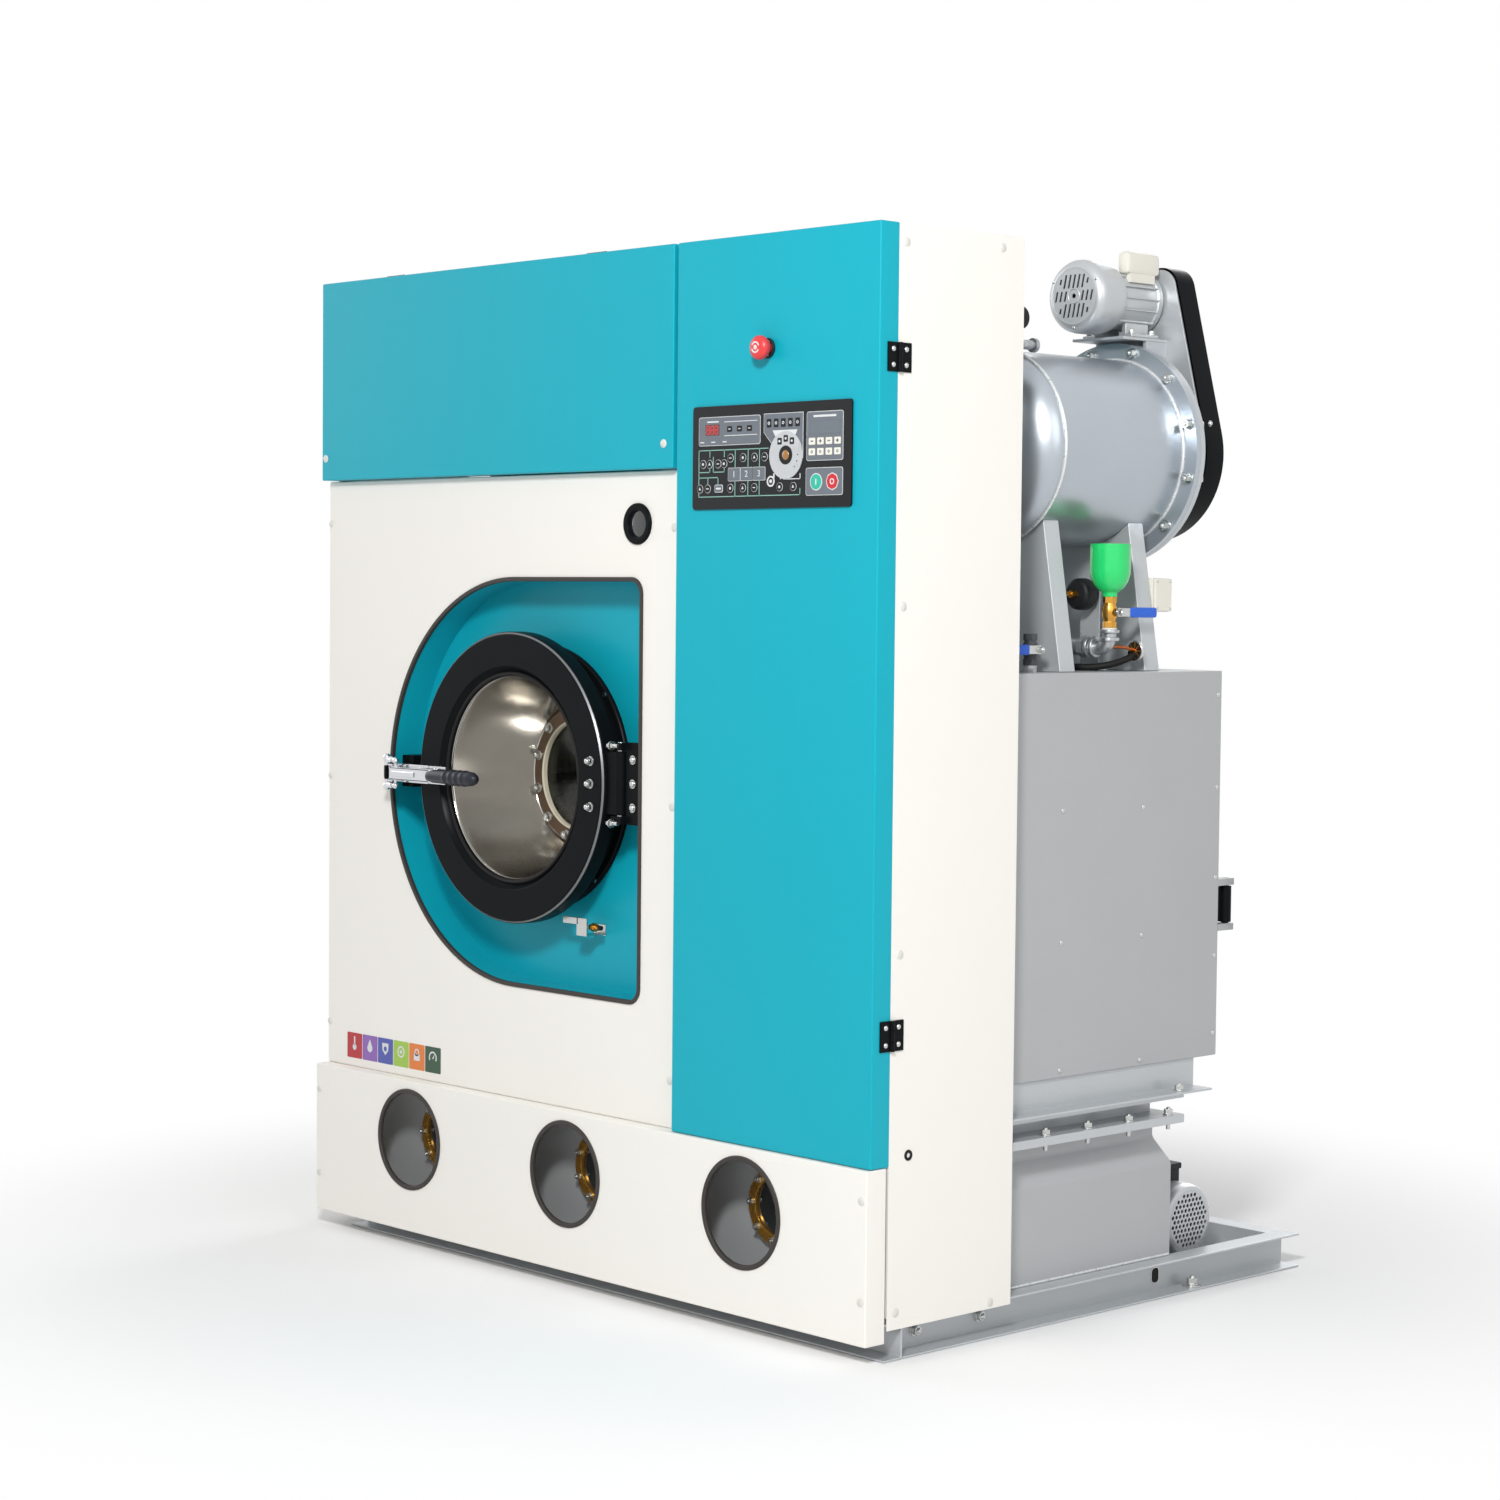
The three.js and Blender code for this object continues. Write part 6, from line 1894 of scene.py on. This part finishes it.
    def build_switch(self) -> None:
        """Makes the pressure switch on its bracket, with its copper fitting."""
        centre = (622.0, 1246.0)
        case = [(0, 634), (20, 634), (25, 637), (28, 642), (28, 660), (26, 664)]
        case += [(12, 666), (12, 675), (0, 675)]
        switch = Shape().turn(Y, case, centre, steps=64)
        switch.into("pressure_switch_case", BLACK, "frame", ["pressure_switch"])
        bracket = Shape().box((600, 644), (674, 677), (1112, 1266), 1)
        bracket.box((601, 643), (676, 700), (1111.3, 1114), 1)
        bracket.into("pressure_switch_bracket", SILVER)
        union = Shape().rod(Y, 7, 620, 634, centre, 6).rod(Y, 4, 608, 622, centre, 20)
        union.into("pressure_switch_union", BRASS, edge=0.5)
        tube = [(622, 610, 1246), (620, 590, 1244), (614, 574, 1225), (612, 566, 1190), (612, 562, 1135)]
        pipe("pressure_copper_tube", tube, 3, COPPER)

    def build_box(self) -> None:
        """Makes the junction box with its lid and screws."""
        box = Shape().box((641, 675), (783.3, 830.3), (1216, 1276), 2.5)
        box.box((675.6, 681), (784, 829.6), (1217, 1275), 1.8)
        box.into("junction_box_moulded", CREAM, "frame", ["junction_box"])
        screws = Shape().domes(X, grid((789, 824.6), (1222, 1270)), 681, 1, 2.6, 1.2)
        screws.into("junction_box_screws", ZINC)


@dataclass
class Pump:
    """The pump and its motor, on the right rail's shelf."""

    centre: Spot = (916.0, 106.0)
    face: float = 675.0
    radius: float = 66.0

    def build(self) -> None:
        """Makes the motor with its pierced fan cover, the casing and the rotor."""
        y, z = self.centre
        motor = Shape()
        motor_body(motor, X, self.centre, self.radius, (self.face, 632), 550)
        casing = [(0, 480), (40, 480), (70, 484), (74, 490), (74, 544), (70, 552), (40, 556), (0, 556)]
        motor.turn(X, casing, self.centre)
        motor.rod(X, 22, 462, 482, self.centre, 40).rod(X, 32, 458, 466, self.centre, 40)
        motor.rod(Z, 20, z + 40, z + 92, (512, y), 40).rod(Z, 30, z + 92, z + 100, (512, y), 40)
        motor.box((570, 615), about(y, 36), (26.3, 82), 3)
        motor.into("pump_cast", ALLOY, "frame", ["pump"], edge=0.8)
        pitch = 10.4
        rise = pitch * 0.866  # between the rows of holes that stand half a pitch apart
        rows = [(y + pitch * (i + j % 2 / 2), z + rise * j) for j in range(-5, 6) for i in range(-6, 6)]
        holes = [circle(spot, 4, 6) for spot in rows if math.dist(spot, self.centre) < 48]
        cover = Shape().prism(X, circle(self.centre, 54, 72), self.face - 2, self.face, holes)
        cover.into("pump_fan_cover", ALLOY)
        disc = Shape().rod(X, 53, self.face - 9, self.face - 6, self.centre, 64)
        disc.into("pump_fan_disc", BLACK, "pump_rotor", ["pump_rotor"])
        box = Shape().box((580, 632), about(y, 24), (z + 58, z + 94), 3)
        box.box((577, 635), about(y, 27), (z + 86, z + 98), 3)
        box.into("pump_terminal_box", BLACK)


# ---------------------------------------------------------------- studio


@dataclass
class Studio:
    """The pale floor, the soft lamps and the camera."""

    eye: Place = (4.177, -4.05005, 1.2315)
    azimuth: float = 46.704
    elevation: float = 2.805
    roll: float = 0.544
    lens: float = 73.85
    sensor: float = 36.0
    fade: Span = (0.85, 2.0)  # metres from the middle, over which the floor turns white
    ambient: float = 0.35

    def build(self) -> None:
        """Makes everything that isn't part of the machine."""
        self.build_camera()
        self.build_floor()
        self.build_lamps()
        self.build_world()
        bpy.context.scene.view_settings.view_transform = "Standard"

    def build_camera(self) -> None:
        """Puts the camera where the photograph was taken from."""
        a, e, r = (math.radians(angle) for angle in (self.azimuth, self.elevation, self.roll))
        back = Vector((math.sin(a) * math.cos(e), -math.cos(a) * math.cos(e), math.sin(e)))
        level = Vector((math.cos(a), math.sin(a), 0.0))
        rise = back.cross(level)
        right = math.cos(r) * level + math.sin(r) * rise
        up = -math.sin(r) * level + math.cos(r) * rise
        data = bpy.data.cameras.new("camera")
        data.lens = self.lens
        data.sensor_width = self.sensor
        data.clip_end = 60.0
        camera = linked("camera", data)
        camera.matrix_world = Matrix.Translation(self.eye) @ Matrix([right, up, back]).transposed().to_4x4()
        bpy.context.scene.camera = camera

    def seen(self, tree: Tree) -> Socket:
        """Returns 1 for a ray that shows the background: to the eye, in a reflection or through glass."""
        path = add(tree, "ShaderNodeLightPath")
        first = combine(tree, "MAXIMUM", path.outputs["Is Camera Ray"], path.outputs["Is Glossy Ray"])
        return combine(tree, "MAXIMUM", first, path.outputs["Is Transmission Ray"])

    def build_floor(self) -> None:
        """Makes a pale floor that fades to the white background away from the machine."""
        bm = bmesh.new()
        bmesh.ops.create_circle(bm, cap_ends=True, segments=96, radius=14.0)
        mesh = bpy.data.meshes.new("studio_floor")
        bm.to_mesh(mesh)
        bm.free()
        floor = linked("studio_floor", mesh)
        floor.location.z = -0.0005
        look = bpy.data.materials.new("pale_studio_floor")
        tree = emptied(look)
        where = add(tree, "ShaderNodeTexCoord").outputs["Object"]
        far = add(tree, "ShaderNodeVectorMath", {0: where}, operation="LENGTH")
        limits = {"Value": far.outputs["Value"], "From Min": self.fade[0], "From Max": self.fade[1]}
        fade = add(tree, "ShaderNodeMapRange", limits, interpolation_type="SMOOTHSTEP")
        shown = combine(tree, "MULTIPLY", fade.outputs["Result"], self.seen(tree))
        matt = add(tree, "ShaderNodeBsdfDiffuse", {"Color": linear("#fafafa")})
        white = add(tree, "ShaderNodeEmission", {"Color": (1, 1, 1, 1), "Strength": 1.0})
        mixed = add(tree, "ShaderNodeMixShader", {0: shown, 1: matt.outputs[0], 2: white.outputs[0]})
        add(tree, "ShaderNodeOutputMaterial", {"Surface": mixed.outputs["Shader"]})
        mesh.materials.append(look)

    def build_lamps(self) -> None:
        """Hangs the key lamp over the front, a broad lamp at the right and weak ones behind."""
        for name, spot, size, power in (
            ("key_lamp", (2.9, -3.45, 3.2), 0.6, 150.0),
            ("side_lamp", (5.0, -1.0, 3.0), 2.6, 36.0),
            ("left_lamp", (-4.4, -1.6, 2.6), 2.6, 40.0),
            ("back_lamp", (-1.0, 4.6, 3.2), 2.6, 80.0),
        ):
            data = bpy.data.lights.new(name, "AREA")
            data.energy = power
            data.size = size
            lamp = linked(name, data)
            lamp.location = spot
            aim = Vector((0.0, 0.0, 0.9)) - Vector(spot)
            lamp.rotation_euler = aim.to_track_quat("-Z", "Y").to_euler()

    def build_world(self) -> None:
        """Lights the room evenly, and shows white where the background is seen."""
        world = bpy.data.worlds.new("studio")
        tree = emptied(world)
        glow = add(tree, "ShaderNodeBackground", {"Color": (1, 1, 1, 1), "Strength": self.ambient})
        white = add(tree, "ShaderNodeBackground", {"Color": (1, 1, 1, 1), "Strength": 1.0})
        seen = self.seen(tree)
        mixed = add(tree, "ShaderNodeMixShader", {0: seen, 1: glow.outputs[0], 2: white.outputs[0]})
        add(tree, "ShaderNodeOutputWorld", {"Surface": mixed.outputs["Shader"]})
        bpy.context.scene.world = world


def main() -> None:
    """Builds the studio and the machine."""
    logging.basicConfig(level=logging.INFO, format="%(message)s")
    Studio().build()
    cabinet = Cabinet()
    cabinet.build()
    FlipCover().build(cabinet)
    ControlColumn().build(cabinet)
    kinds = (BaseFrame, LoadingDoor, Clamp, Drum, Tank, Still, Filter, Fittings, Pump)
    for part in (kind() for kind in kinds):
        part.build()
        LOG.info("%s done", type(part).__name__)


if __name__ == "__main__":
    main()
